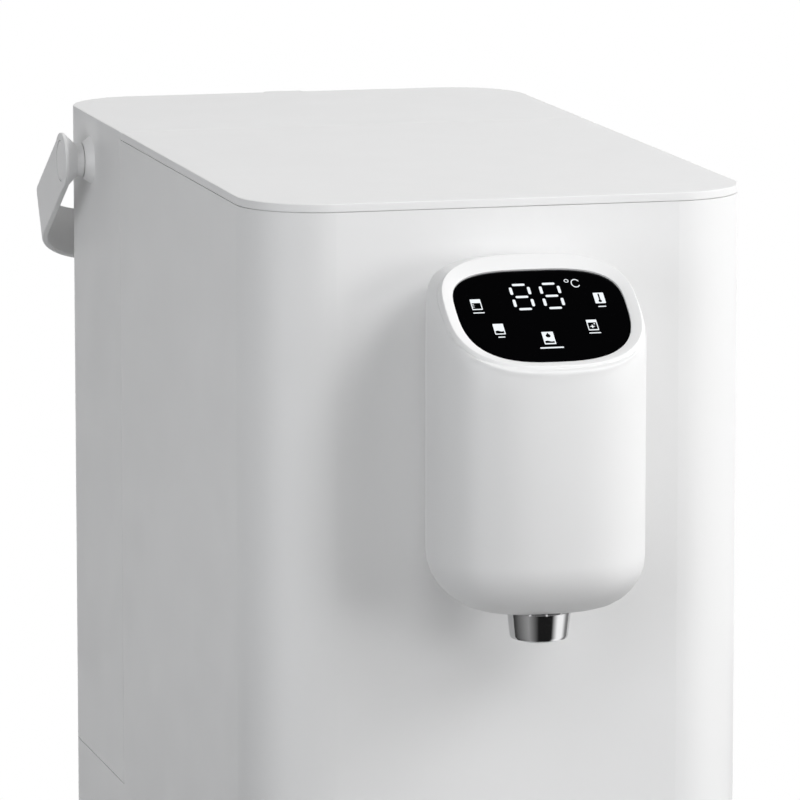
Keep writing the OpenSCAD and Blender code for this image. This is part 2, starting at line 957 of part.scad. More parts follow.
// Cartridge with a spigot below and a grip on its cap
module cartridge() {
  long = filter_top - filter_z;
  rotate_extrude() {
    translate([0, filter_z]) square([filter_r - filter_edge, long]);
    translate([0, filter_z + filter_edge]) square([filter_r, long - 2 * filter_edge]);
    for (z = [filter_z + filter_edge, filter_top - filter_edge]) {
      translate([filter_r - filter_edge, z]) circle(filter_edge, $fn = 32);
    }
    translate([0, filter_z - filter_gap - socket_depth + spigot_clear]) {
      square([socket_r - run, socket_depth + filter_gap]);
    }
  }
  translate([-grip_w / 2, -grip_l / 2, filter_top - lap]) cube([grip_w, grip_l, grip_h + lap]);
}

module pre_filter() color(white) placed() {
  translate([-filter_half_gap, filter_y, 0]) cartridge();
}

module membrane_filter() color(white) placed() {
  translate([filter_half_gap, filter_y, 0]) cartridge();
}

module booster_pump() color(black) placed() {
  translate([pump_x, pump_y, pump_z]) rotate([90, 0, 0]) {
    cylinder(r = pump_r, h = pump_len);
    translate([0, 0, pump_len - lap]) cylinder(r = pump_nose_r, h = pump_nose);
  }
}

module pump_motor() color(steel) placed() {
  translate([pump_x, pump_y, pump_z]) rotate([-90, 0, 0]) {
    cylinder(r = motor_r, h = motor_len);
    cylinder(r = motor_end_r, h = motor_len + motor_end);
  }
}

// Two rubber saddles under the pump
module pump_mounts() color(black) placed() {
  for (y = [pump_y - mount_d - mount_step, pump_y - mount_d]) {
    difference() {
      translate([pump_x - mount_w / 2, y, base_top]) cube([mount_w, mount_d, mount_h + mount_lap]);
      translate([pump_x, y - lap, pump_z]) rotate([-90, 0, 0]) {
        cylinder(r = pump_r + run, h = mount_d + 2 * lap);
      }
    }
  }
}

// Board on four stand-offs with a choke, a capacitor and a heat sink
module power_board() color(board_green) placed() {
  deck = stand_h + power_t - lap;
  translate([board_x, board_y, base_top]) {
    for (x = [stand_in, power_w - stand_in], y = [stand_in, power_d - stand_in]) {
      translate([x, y, 0]) cylinder(r = stand_r, h = stand_h);
    }
    translate([0, 0, stand_h - lap]) cube([power_w, power_d, power_t]);
    translate([stand_h, stand_h, deck - lap]) cube([choke_w, choke_d, choke_h]);
    translate([power_w - can_r - stand_h, stand_h + can_r, deck - lap]) cylinder(r = can_r, h = can_h);
    translate([(power_w - sink_w) / 2, power_d * 0.65, deck - lap]) cube([sink_w, sink_d, sink_h]);
  }
}

module pure_water_tank() color(milky) placed() {
  slab(deck_z, pure_h) plan(pure_w, pure_y, pure_y + pure_d, pure_r, pure_r);
  translate([pure_cap_x, pure_cap_y, pure_top - lap]) cylinder(r = pure_cap_r, h = pure_cap_h + lap);
}

module heater() color(steel) placed() {
  translate([0, heater_y, pure_top]) {
    cylinder(r = heater_r, h = heater_h - heater_step);
    cylinder(r = heater_cap_r, h = heater_h);
    cylinder(r = heater_flange_r, h = heater_flange_t);
  }
}

// Sensor with a saddle that follows the heater's wall
module heater_sensor() color(black) placed() {
  difference() {
    translate([-sensor_w / 2, heater_y - heater_r - sensor_d, pure_top + sensor_up]) {
      cube([sensor_w, sensor_d + heater_r / 8, sensor_h]);
    }
    translate([0, heater_y, pure_top]) cylinder(r = heater_r + run, h = heater_h);
  }
}

module dispense_pump() color(black) placed() {
  translate([dispense_x, heater_y, pure_top]) {
    cylinder(r = dispense_r, h = dispense_h);
    cylinder(r = dispense_motor_r, h = dispense_motor_h);
    translate([-dispense_plate / 2, -dispense_plate / 2, 0]) {
      cube([dispense_plate, dispense_plate, dispense_plate_t]);
    }
  }
}

module solenoid_valve() color(grey) placed() {
  translate([solenoid_x, heater_y, pure_top]) {
    translate([-solenoid_w / 2, -solenoid_d / 2, 0]) cube([solenoid_w, solenoid_d, solenoid_h]);
    translate([0, 0, solenoid_h - lap]) cylinder(r = coil_r, h = coil_h);
  }
}

// Tube from the coupler's barb down and across to the booster pump
module feed_tube() color(milky) placed() {
  barb_end = coupler_floor_z - coupler_floor_t - barb_h;
  run_z = pump_z;
  translate([0, valve_y, run_z + tube_bend]) {
    cylinder(r = tube_r, h = barb_end - run_z - tube_bend);
  }
  translate([-tube_bend, valve_y, run_z + tube_bend]) rotate([90, 0, 0]) {
    rotate_extrude(angle = 90, start = 270) translate([tube_bend, 0]) circle(tube_r, $fn = 32);
  }
  translate([-tube_bend, valve_y, run_z]) rotate([0, -90, 0]) {
    cylinder(r = tube_r, h = -pump_x - pump_r - tube_bend - fit);
  }
}

// Tube from the heater's top through the neck to the nozzle
module hot_tube() color(milky) placed() {
  bent_tube(0, heater_y, heater_top, hot_z, -nozzle_y, head_z + nozzle_up);
}

// Spout head

// Section of the neck in X and Z, grown by d
module neck_plan(d) {
  plan(neck_w + 2 * d, neck_z - d, neck_z + neck_h + d, neck_r + d, neck_r + d);
}

module head_bracket() color(white) placed() {
  difference() {
    union() {
      translate([0, wall_t + lap, 0]) rotate([90, 0, 0]) {
        slab(0, wall_t + lap + head_gap + neck_in) neck_plan(0);
      }
      translate([0, wall_t + flange_t, 0]) rotate([90, 0, 0]) slab(0, flange_t) {
        neck_plan(flange_out);
      }
    }
    translate([0, wall_t + flange_t + lap, 0]) rotate([90, 0, 0]) {
      slab(0, wall_t + flange_t + 2 * lap + head_gap + neck_in) neck_plan(-neck_wall);
    }
    for (x = [-1, 1], z = [0, 1]) {
      translate([x * neck_screw_x, wall_t - lap, neck_z + z * neck_h]) {
        rotate([-90, 0, 0]) cylinder(r = screw_r + run, h = flange_t + 2 * lap);
      }
    }
  }
}

module head_screws() color(steel) placed() {
  for (x = [-1, 1], z = [0, 1]) {
    translate([x * neck_screw_x, wall_t + flange_t, neck_z + z * neck_h]) {
      rotate([-90, 0, 0]) screw(screw_head_r, screw_head_t, screw_r, flange_t + wall_t - fit);
    }
  }
}

module head_shell() color(white) placed() {
  difference() {
    ring_loop(concat(pod_wall(0), reversed(pod_wall(head_wall))));
    translate([0, -nozzle_y, head_z - lap]) {
      cylinder(r = nozzle_spigot_r + fit, h = head_wall + 2 * lap);
    }
    translate([0, 1, 0]) rotate([90, 0, 0]) slab(0, neck_in + head_wall + 1) neck_plan(fit);
  }
}

// Ring of the bezel: share f of the way from the glass to the foot, at height h
// less share s of the seat's depth
function bezel_ring(f, h, s) = [
  for (t = angles)
  let (g = glass_point(t, 0), p = g + (bezel_point(t, 0) - g) * f)
  panel_at(p, h - s * seat_depth(p))
];

module panel_bezel() color(white) placed() {
  ring_loop([
    bezel_ring(bezel_lip, glass_bottom, 0),
    bezel_ring(0, glass_bottom, 0),
    bezel_ring(0, -bezel_dish - bezel_inner_edge, 0),
    bezel_ring(bezel_ease, -bezel_dish, 0),
    for (i = [0:bezel_steps])
    let (x = pow(i / bezel_steps, bezel_spread))
    bezel_ring(bezel_crest + (1 - bezel_crest) * x, 0, bezel_round * pow(x, bezel_flank)),
    bezel_ring(1, 0, 1),
    bezel_ring(bezel_rest, 0, 1),
    bezel_ring(0, bezel_floor, 0),
    bezel_ring(bezel_lip, bezel_floor, 0)
  ]);
}

module touch_glass() color(black) placed() {
  panel_frame() slab(glass_bottom, glass_t) {
    polygon([for (t = angles) glass_point(t, glass_gap)]);
  }
}

module digit_module() color(black) placed() {
  panel_frame() slab(digit_bottom, digit_t) {
    translate([-digit_w / 2, digit_up - digit_l / 2]) square([digit_w, digit_l]);
  }
}

module display_board() color(board_green) placed() {
  panel_frame() slab(digit_bottom - board_t, board_t) {
    polygon([for (t = angles) glass_point(t, board_in)]);
  }
}

module nozzle_ring() color(steel) placed() {
  top_r = nozzle_top_dia / 2;
  tip_r = nozzle_tip_dia / 2;
  translate([0, -nozzle_y, 0]) rotate_extrude() polygon([
    [nozzle_bore_r, nozzle_tip],
    [tip_r - mouth_edge, nozzle_tip],
    [tip_r, nozzle_tip + mouth_edge],
    [top_r, head_z - nozzle_gap - crown_edge],
    [top_r - crown_edge, head_z - nozzle_gap],
    [nozzle_spigot_r, head_z - nozzle_gap],
    [nozzle_spigot_r, head_z + nozzle_up],
    [nozzle_bore_r, head_z + nozzle_up]
  ]);
}

module nozzle_insert() color(milky) placed() {
  translate([0, -nozzle_y, 0]) rotate_extrude() polygon([
    [insert_bore_r, nozzle_tip - insert_lip],
    [nozzle_bore_r - insert_taper, nozzle_tip - insert_lip],
    [nozzle_bore_r - run, nozzle_tip],
    [nozzle_bore_r - run, head_z + nozzle_up],
    [insert_bore_r, head_z + nozzle_up]
  ]);
}

// Lids and tank

module top_cover() color(white) placed() {
  slab(rim_z + seam, lid_t - seam) front_plan(0);
  slab(rim_z, seam + lap) front_plan(seam_in);
  slab(rim_z - rib_h, rib_h + lap) difference() {
    plan(body_w - 2 * rib_in, rib_in, bay_y - fit, corner_r - rib_in, edge_r);
    plan(
      body_w - 2 * (rib_in + rib_t),
      rib_in + rib_t,
      bay_y - fit - rib_t,
      corner_r - rib_in - rib_t,
      edge_r
    );
  }
}

module tank_shell() color(white) placed() {
  difference() {
    union() {
      slab(deck_z + seam, rim_z - deck_z - seam) tank_plan(0);
      slab(deck_z, seam + lap) tank_plan(seam_in);
      for (s = [-1, 1]) on_side(s) translate([0, 0, pivot_half - lap]) {
        cylinder(r1 = boss_base_dia / 2, r2 = boss_tip_dia / 2, h = boss_h + lap);
      }
    }
    difference() {
      slab(deck_z + tank_floor_t, body_h) tank_plan(wall_t);
      for (s = [-1, 1]) on_side(s) translate([0, 0, pivot_half - wall_t - boss_in]) {
        cylinder(r = spigot_r + spigot_wall, h = boss_in + wall_t);
      }
    }
    for (s = [-1, 1]) on_side(s) {
      translate([0, 0, pivot_half + boss_h - spigot_len]) {
        cylinder(r = spigot_r + run, h = spigot_len + lap);
      }
      translate([0, 0, pivot_half + boss_h - spigot_len - pin_depth - pin_tip_gap]) {
        cylinder(r = pin_screw_r + run, h = pin_depth + 2 * pin_tip_gap);
      }
    }
    translate([0, valve_y, deck_z - lap]) {
      cylinder(r = valve_r + run, h = tank_floor_t + 2 * lap);
    }
  }
}

module valve_body() color(milky) placed() {
  top = deck_z + tank_floor_t + valve_rise;
  translate([0, valve_y, 0]) difference() {
    rotate_extrude() difference() {
      union() {
        translate([0, nose_z]) square([valve_r, top - nose_z]);
        translate([0, deck_z + tank_floor_t]) square([valve_flange_r, valve_flange_t]);
      }
      translate([-lap, seat_z]) square([valve_cavity_r + lap, top]);
      translate([-lap, nose_z - lap]) square([valve_hole_r + lap, valve_floor_t + 2 * lap]);
      translate([valve_r, nose_z + seal_up]) circle(seal_wire_r, $fn = 32);
    }
    for (a = [0, 90]) rotate([0, 0, a]) {
      translate([
        -valve_r - 1,
        -valve_window_w / 2,
        deck_z + tank_floor_t + valve_flange_t + valve_window_up
      ]) cube([2 * valve_r + 2, valve_window_w, valve_window_h]);
    }
  }
}

// Ring that guides the poppet's stem and holds the spring's upper end
module valve_cap() color(milky) placed() {
  translate([0, valve_y, cap_z]) difference() {
    cylinder(r = valve_cavity_r - run, h = cap_plate_t);
    translate([0, 0, -lap]) cylinder(r = stem_r + fit, h = cap_plate_t + 2 * lap);
    for (a = [0:60:300]) rotate([0, 0, a]) translate([cap_vent_out, 0, -lap]) {
      cylinder(r = cap_vent_r, h = cap_plate_t + 2 * lap);
    }
  }
}

module valve_seal() color(black) placed() {
  seal_r = seal_wire_r - seal_slack;
  translate([0, valve_y, nose_z + seal_up]) rotate_extrude() {
    translate([valve_r + seal_proud - seal_r, 0]) circle(seal_r, $fn = 32);
  }
}

// The spring sits out of sight in the valve, so it is a plain sleeve
module valve_spring() color(steel) placed() {
  translate([0, valve_y, poppet_z + poppet_t]) difference() {
    cylinder(r = spring_r + spring_wire / 2, h = cap_z - poppet_z - poppet_t);
    translate([0, 0, -lap]) {
      cylinder(r = spring_r - spring_wire / 2, h = cap_z - poppet_z - poppet_t + 2 * lap);
    }
  }
}

module valve_poppet() color(black) placed() {
  translate([0, valve_y, poppet_z]) {
    cylinder(r = poppet_r, h = poppet_t);
    cylinder(r = stem_r, h = cap_z - poppet_z + cap_plate_t + stem_over);
  }
}

module pivot_screws() color(steel) placed() {
  for (s = [-1, 1]) on_side(s) {
    tip = pivot_half + boss_h - spigot_len - pin_depth;
    top = disc_out - cap_t - head_clear;
    translate([0, 0, tip]) cylinder(r = pin_screw_r, h = top - tip);
    translate([0, 0, top - pin_head_t]) cylinder(r = pin_head_r, h = pin_head_t);
  }
}

module tank_lid() color(white) placed() {
  slab(rim_z, lid_t) tank_plan(0);
  slab(rim_z + lid_t - tab_t, tab_t) {
    plan(tab_w, body_d - tab_root, body_d + tab_reach, 1, tab_r);
  }
  slab(rim_z - rib_h, rib_h + lap) difference() {
    tank_plan(rib_in);
    tank_plan(rib_in + rib_t);
  }
}

// Strap of the handle, drawn lying back from the pivots and then let down
module tank_handle() color(white) placed() {
  translate([0, pivot_y, pivot_z]) rotate([-strap_hang, 0, 0]) difference() {
    union() {
      translate([0, 0, -strap_w / 2]) linear_extrude(strap_w) difference() {
        plan(2 * disc_out, -strap_r - 2, strap_reach, strap_r, strap_r);
        plan(
          2 * (disc_out - strap_t),
          -strap_r - 4,
          strap_inner,
          strap_r - strap_t,
          strap_r - strap_t
        );
        translate([-2 * disc_out, -2 * strap_r - 10]) square([4 * disc_out, 2 * strap_r + 10]);
      }
      for (s = [-1, 1]) rotate([0, 90 * s, 0]) {
        translate([0, 0, disc_out - disc_rim]) cylinder(r = pivot_disc_dia / 2, h = disc_rim);
        translate([0, 0, disc_in]) {
          cylinder(r1 = pivot_neck_dia / 2, r2 = pivot_disc_dia / 2, h = pivot_disc_t - disc_rim);
        }
        translate([0, 0, pivot_half + boss_h + fit]) {
          cylinder(r = pivot_neck_dia / 2, h = pivot_neck + lap);
        }
        translate([0, 0, pivot_half + boss_h + fit - spigot_len]) {
          cylinder(r = spigot_r, h = spigot_len + lap);
        }
      }
    }
    for (s = [-1, 1]) rotate([0, 90 * s, 0]) {
      translate([0, 0, pivot_half - spigot_len]) cylinder(r = pin_screw_r + fit, h = disc_out);
      translate([0, 0, disc_out - cap_t - head_clear - pin_head_t - fit]) {
        cylinder(r = pin_head_r + fit, h = pin_head_t + cap_t);
      }
      translate([0, 0, disc_out - cap_t]) cylinder(r = cap_r + cap_gap, h = cap_t + lap);
    }
  }
}

module pivot_caps() color(white) placed() {
  for (s = [-1, 1]) on_side(s) translate([0, 0, disc_out - cap_t]) {
    domed_disc(cap_r, cap_t - cap_sunk, cap_edge);
  }
}

// Drip tray

module drip_tray() color(white) placed() {
  difference() {
    slab(tray_z, tray_h) plan(tray_w, -tray_reach, -tray_gap, tray_r, tray_rear_r);
    slab(tray_z + tray_floor_t, tray_h) {
      plan(
        tray_w - 2 * (tray_wall + grille_ledge),
        -tray_reach + tray_wall + grille_ledge,
        -tray_gap - tray_wall - grille_ledge,
        tray_r - tray_wall - grille_ledge,
        tray_rear_r / 2
      );
    }
    slab(grille_z, tray_h) {
      plan(
        tray_w - 2 * tray_wall,
        -tray_reach + tray_wall,
        -tray_gap - tray_wall,
        tray_r - tray_wall,
        tray_rear_r - 1
      );
    }
  }
}

module drip_grille() color(steel) placed() {
  grille_w = tray_w - 2 * (tray_wall + fit);
  slot_step = slot_w + slot_bar;
  slots = floor((grille_w - 2 * slot_margin) / slot_step);
  front = -tray_reach + tray_wall + fit;
  rear = -tray_gap - tray_wall - fit;
  difference() {
    slab(grille_z, grille_t) {
      plan(grille_w, front, rear, tray_r - tray_wall - fit, tray_rear_r - 1 - fit);
    }
    for (i = [0:slots - 1]) {
      x = (i - (slots - 1) / 2) * slot_step;
      slack = max(0, abs(x) - grille_w / 2 + tray_r) * 0.8;
      translate([x - slot_w / 2, front + slot_margin + slack, tray_z]) {
        cube([slot_w, rear - front - 2 * slot_margin - slack, tray_h]);
      }
    }
  }
}

outer_shell();
base_plate();
feet();
base_screws();
rear_panel();
rear_screws();
inlet_socket();
inlet_pins();
tank_deck();
bay_wall();
service_deck();
tank_coupler();
filter_manifold();
booster_pump();
pump_motor();
pump_mounts();
power_board();
pure_water_tank();
heater();
heater_sensor();
dispense_pump();
solenoid_valve();
feed_tube();
hot_tube();
head_bracket();
head_screws();
head_shell();
panel_bezel();
touch_glass();
display_board();
digit_module();
nozzle_ring();
nozzle_insert();
top_cover();
pre_filter();
membrane_filter();
tank_shell();
valve_body();
valve_cap();
valve_seal();
valve_spring();
valve_poppet();
pivot_screws();
tank_lid();
tank_handle();
pivot_caps();
drip_tray();
drip_grille();
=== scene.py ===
import json
import math

import bmesh
import bpy
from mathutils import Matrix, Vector


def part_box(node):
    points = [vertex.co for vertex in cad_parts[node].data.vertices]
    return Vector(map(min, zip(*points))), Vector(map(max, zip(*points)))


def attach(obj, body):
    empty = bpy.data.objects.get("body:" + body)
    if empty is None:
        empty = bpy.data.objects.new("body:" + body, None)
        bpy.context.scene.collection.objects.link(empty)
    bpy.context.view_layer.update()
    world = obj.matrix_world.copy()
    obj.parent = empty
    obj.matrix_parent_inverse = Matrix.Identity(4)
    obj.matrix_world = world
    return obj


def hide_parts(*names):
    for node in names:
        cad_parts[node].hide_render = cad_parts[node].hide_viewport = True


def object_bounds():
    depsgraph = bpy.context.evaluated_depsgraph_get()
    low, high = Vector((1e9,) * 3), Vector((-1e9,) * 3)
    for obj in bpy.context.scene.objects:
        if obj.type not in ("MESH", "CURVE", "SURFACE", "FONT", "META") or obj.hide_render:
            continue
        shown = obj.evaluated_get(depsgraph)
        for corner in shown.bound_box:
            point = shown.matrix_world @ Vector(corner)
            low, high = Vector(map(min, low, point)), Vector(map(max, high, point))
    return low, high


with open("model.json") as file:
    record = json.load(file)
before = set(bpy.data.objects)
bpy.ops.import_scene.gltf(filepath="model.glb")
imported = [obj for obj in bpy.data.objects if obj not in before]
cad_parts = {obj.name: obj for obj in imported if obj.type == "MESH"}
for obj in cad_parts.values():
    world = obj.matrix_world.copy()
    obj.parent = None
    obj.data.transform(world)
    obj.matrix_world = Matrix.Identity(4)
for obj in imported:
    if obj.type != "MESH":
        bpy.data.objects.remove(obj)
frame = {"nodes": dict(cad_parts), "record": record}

cad_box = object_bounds()

# Sizes that the pieces share with the frame, in metres and radians
MM = 0.001
CORNER_R = 32 * MM
EDGE_R = 1.5 * MM
LID_T = 3.4 * MM
SEAM = 0.3 * MM
SEAM_IN = 0.9 * MM
RIB_IN = 3.2 * MM
RIB_T = 2 * MM
RIB_H = 5 * MM
FIT = 0.3 * MM
TAB_W = 17.5 * MM
TAB_T = 2 * MM
TAB_R = 1.8 * MM
STRAP_W = 23 * MM
STRAP_T = 2.5 * MM
STRAP_R = 32 * MM
STRAP_REACH = 83.9 * MM
STRAP_HANG = math.radians(30.5)
DISC_R = 12 * MM
DISC_T = 6 * MM
DISC_RIM = 1.4 * MM
NECK_R = 7.25 * MM
BOSS_H = 3.5 * MM
CAP_R = 8.6 * MM
CAP_T = 1.5 * MM
PANEL_TILT = math.radians(36)
GLASS_REAR = 20.75 * MM
GLASS_SUNK = 1.6 * MM
SEAT_FRONT = 1 * MM
SEAT_REAR = 4.2 * MM
FOOT_SIDE = 38.7 * MM
FOOT_FRONT = 33 * MM
FOOT_REAR = 30.3 * MM
FOOT_SQUARE = 2.75
NOZZLE_TIP_R = 11.1 * MM
NOZZLE_BORE_R = 8.6 * MM
NOZZLE_SPIGOT_R = 10.2 * MM
NOZZLE_H = 10.8 * MM
TRAY_R = 24 * MM
TRAY_REAR_R = 4 * MM
TRAY_WALL = 2.2 * MM
TRAY_SHELF = 1.8 * MM
TRAY_FLOOR_T = 2.2 * MM

# Softened edges of the moulded pieces, and the steps that round forms are made in
COVER_EDGE = 0.5 * MM
STRAP_EDGE = 0.6 * MM
DISC_EDGE = 0.5 * MM
CAP_EDGE = 0.35 * MM
TRAY_EDGE = 0.9 * MM
TRAY_RIM_EDGE = 0.6 * MM
CORNER_STEPS, TRAY_STEPS, TRAY_REAR_STEPS, TAB_STEPS, EDGE_STEPS, SOFT_STEPS = 24, 20, 6, 5, 4, 3
BEND_STEPS, ROUND_SIDES = 16, 96

# Limits by which faces and edges are told apart, angles in degrees
SQUARE_ON, PARALLEL, LEANING = 0.9, 0.99, 0.5
CLOSE, WELD, FRAME_WELD = 1e-5, 1e-7, 1e-6
SHARP, BLUNT = 60, 20
LID_ANGLE, FINE_ANGLE, POD_ANGLE, RING_ANGLE = 35, 30, 40, 24

# Places read from the frame
shell_low, shell_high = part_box("outer_shell")
cover_low, cover_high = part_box("top_cover")
lid_low, lid_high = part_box("tank_lid")
handle_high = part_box("tank_handle")[1]
caps_low, caps_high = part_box("pivot_caps")
ring_low, ring_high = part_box("nozzle_ring")
tray_low, tray_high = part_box("drip_tray")
grille_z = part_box("drip_grille")[0].z
wall_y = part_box("bay_wall")[0].y
front_y = shell_low.y
rear_y = shell_high.y
top_z = cover_high.z
rim_z = top_z - LID_T
pivot = Vector((0, (caps_low.y + caps_high.y) / 2, (caps_low.z + caps_high.z) / 2))
glass_rear = max((p.co for p in frame["nodes"]["touch_glass"].data.vertices), key=lambda p: p.z)
panel_y = glass_rear.y - GLASS_REAR * math.cos(PANEL_TILT)
panel_z = glass_rear.z - GLASS_REAR * math.sin(PANEL_TILT)
glass_middle = Vector((0, panel_y, panel_z))


# Hand tools: selecting, adding and shaping

def none_selected():
    if bpy.context.object and bpy.context.object.mode == "EDIT":
        bpy.ops.object.mode_set(mode="OBJECT")
    bpy.ops.object.select_all(action="DESELECT")


def only(piece):
    none_selected()
    piece.select_set(True)
    bpy.context.view_layer.objects.active = piece


def open_mesh(piece):
    only(piece)
    bpy.ops.object.mode_set(mode="EDIT")


def close_mesh():
    bpy.ops.object.mode_set(mode="OBJECT")


def settle(piece):
    only(piece)
    bpy.ops.object.transform_apply(location=True, rotation=True, scale=True)
    return piece


def block(name, low, high):
    none_selected()
    low, high = Vector(low), Vector(high)
    bpy.ops.mesh.primitive_cube_add(size=1, location=(low + high) / 2)
    piece = bpy.context.object
    piece.name = name
    piece.scale = high - low
    return settle(piece)


def drum(name, radius, depth, centre, along="Z", sides=ROUND_SIDES):
    none_selected()
    turns = {"X": (0, math.radians(90), 0), "Z": (0, 0, 0)}
    bpy.ops.mesh.primitive_cylinder_add(
        vertices=sides, radius=radius, depth=depth, location=centre, rotation=turns[along]
    )
    piece = bpy.context.object
    piece.name = name
    return settle(piece)


def near(a, b, gap=CLOSE):
    return abs(a - b) < gap


def middle(edge):
    return (edge.verts[0].co + edge.verts[1].co) / 2


def upright(edge):
    run = edge.verts[1].co - edge.verts[0].co
    return abs(run.z) > PARALLEL * run.length


def upright_at(y):
    return lambda edge: upright(edge) and near(middle(edge).y, y)


def facing_down(face):
    return face.normal.z < -SQUARE_ON


def sharp_edges(degrees):
    return lambda edge: len(edge.link_faces) == 2 and edge.calc_face_angle(0) > math.radians(degrees)


def rim_at(z):
    def wanted(edge):
        if not all(near(v.co.z, z) for v in edge.verts) or len(edge.link_faces) != 2:
            return False
        tilts = sorted(abs(face.normal.z) for face in edge.link_faces)
        return tilts[1] > SQUARE_ON and tilts[0] < LEANING
    return wanted


def pick(piece, kind, wanted):
    bpy.ops.mesh.select_mode(type=kind)
    bpy.ops.mesh.select_all(action="DESELECT")
    mesh = bmesh.from_edit_mesh(piece.data)
    mesh.normal_update()
    items = {"VERT": mesh.verts, "EDGE": mesh.edges, "FACE": mesh.faces}[kind]
    for item in [i for i in items if wanted(i)]:
        item.select_set(True)
    bmesh.update_edit_mesh(piece.data)


def round_edges(piece, wanted, radius, segments):
    pick(piece, "EDGE", wanted)
    bpy.ops.mesh.bevel(offset_type="OFFSET", offset=radius, segments=segments, affect="EDGES")


def pull(x, y, z):
    bpy.ops.mesh.extrude_region_move(TRANSFORM_OT_translate={"value": (x, y, z)})


def shift(x, y, z):
    bpy.ops.transform.translate(value=(x, y, z))


def inset(width):
    bpy.ops.mesh.inset(thickness=width, depth=0)


def mend(piece):
    open_mesh(piece)
    bpy.ops.mesh.select_all(action="SELECT")
    bpy.ops.mesh.remove_doubles(threshold=WELD)
    bpy.ops.mesh.normals_make_consistent(inside=False)
    close_mesh()


def carve(piece, other, operation="DIFFERENCE"):
    only(piece)
    step = piece.modifiers.new("carve", "BOOLEAN")
    step.operation = operation
    step.solver = "EXACT"
    step.object = other
    bpy.ops.object.modifier_apply(modifier=step.name)
    bpy.data.objects.remove(other)


def join(name, pieces):
    none_selected()
    for piece in pieces:
        piece.select_set(True)
    bpy.context.view_layer.objects.active = pieces[0]
    bpy.ops.object.join()
    pieces[0].name = name
    return pieces[0]


def copy_of(piece, name):
    twin = bpy.data.objects.new(name, piece.data.copy())
    bpy.context.scene.collection.objects.link(twin)
    return twin


def smooth(piece, degrees):
    only(piece)
    bpy.ops.object.shade_smooth_by_angle(angle=math.radians(degrees))


def smooth_flats(piece, degrees):
    smooth(piece, degrees)
    step = piece.modifiers.new("flats", "WEIGHTED_NORMAL")
    step.keep_sharp = True
    bpy.ops.object.modifier_apply(modifier=step.name)


def hand_over(piece, finish, slot, body, *nodes):
    piece.data.name = piece.name
    piece.data.materials.clear()
    piece.data.materials.append(finish)
    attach(piece, body)
    if nodes:
        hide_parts(*nodes)
    return piece


# Surface effects that several finishes share

COLOUR, NUMBER = "NodeSocketColor", "NodeSocketFloat"
NOISE_LOW, NOISE_HIGH = 0.3, 0.7
PATCH_SCALE = 55.0
LINE_STRETCH = (1, 40, 40)
POLISH_DARKEST = 0.94


def effect(name, inputs, outputs):
    group = bpy.data.node_groups.new(name, "ShaderNodeTree")
    for label, kind, value in inputs:
        socket = group.interface.new_socket(label, in_out="INPUT", socket_type=kind)
        socket.default_value = value
    for label, kind in outputs:
        group.interface.new_socket(label, in_out="OUTPUT", socket_type=kind)
    return group, group.nodes.new("NodeGroupInput"), group.nodes.new("NodeGroupOutput")


def noise(group, coords, scale, detail=3.0):
    node = group.nodes.new("ShaderNodeTexNoise")
    node.inputs["Detail"].default_value = detail
    group.links.new(coords, node.inputs["Vector"])
    if isinstance(scale, (int, float)):
        node.inputs["Scale"].default_value = scale
    else:
        group.links.new(scale, node.inputs["Scale"])
    return node.outputs["Fac"]


def spread(group, value, low, high):
    node = group.nodes.new("ShaderNodeMapRange")
    node.inputs["From Min"].default_value = NOISE_LOW
    node.inputs["From Max"].default_value = NOISE_HIGH
    group.links.new(value, node.inputs["Value"])
    for label, end in (("To Min", low), ("To Max", high)):
        if isinstance(end, (int, float)):
            node.inputs[label].default_value = end
        else:
            group.links.new(end, node.inputs[label])
    return node.outputs["Result"]


def tone_and_gloss(group, start, end, tones, darkest, gloss):
    tone = group.nodes.new("ShaderNodeHueSaturation")
    group.links.new(start.outputs["Colour"], tone.inputs["Color"])
    group.links.new(spread(group, tones, darkest, 1.0), tone.inputs["Value"])
    rough = spread(group, gloss, start.outputs["Smoothest"], start.outputs["Roughest"])
    group.links.new(tone.outputs["Color"], end.inputs["Colour"])
    group.links.new(rough, end.inputs["Roughness"])


def moulded_effect():
    group, start, end = effect(
        "moulded_skin",
        [
            ("Colour", COLOUR, (0.8, 0.8, 0.8, 1)),
            ("Cloud scale", NUMBER, 9.0),
            ("Darkest", NUMBER, 0.985),
            ("Grain scale", NUMBER, 1500.0),
            ("Smoothest", NUMBER, 0.4),
            ("Roughest", NUMBER, 0.48),
        ],
        [("Colour", COLOUR), ("Roughness", NUMBER), ("Grain", NUMBER)],
    )
    coords = group.nodes.new("ShaderNodeTexCoord").outputs["Object"]
    cloud = noise(group, coords, start.outputs["Cloud scale"])
    patches = noise(group, coords, PATCH_SCALE)
    grain = noise(group, coords, start.outputs["Grain scale"], detail=2.0)
    tone_and_gloss(group, start, end, cloud, start.outputs["Darkest"], patches)
    group.links.new(grain, end.inputs["Grain"])
    return group


def brushed_effect():
    group, start, end = effect(
        "brushed_skin",
        [
            ("Colour", COLOUR, (0.6, 0.6, 0.6, 1)),
            ("Line scale", NUMBER, 60.0),
            ("Darkest", NUMBER, 0.9),
            ("Smoothest", NUMBER, 0.2),
            ("Roughest", NUMBER, 0.35),
        ],
        [("Colour", COLOUR), ("Roughness", NUMBER), ("Lines", NUMBER)],
    )
    stretch = group.nodes.new("ShaderNodeMapping")
    stretch.inputs["Scale"].default_value = LINE_STRETCH
    group.links.new(group.nodes.new("ShaderNodeTexCoord").outputs["Object"], stretch.inputs["Vector"])
    lines = noise(group, stretch.outputs["Vector"], start.outputs["Line scale"], detail=4.0)
    tone_and_gloss(group, start, end, lines, start.outputs["Darkest"], lines)
    group.links.new(lines, end.inputs["Lines"])
    return group


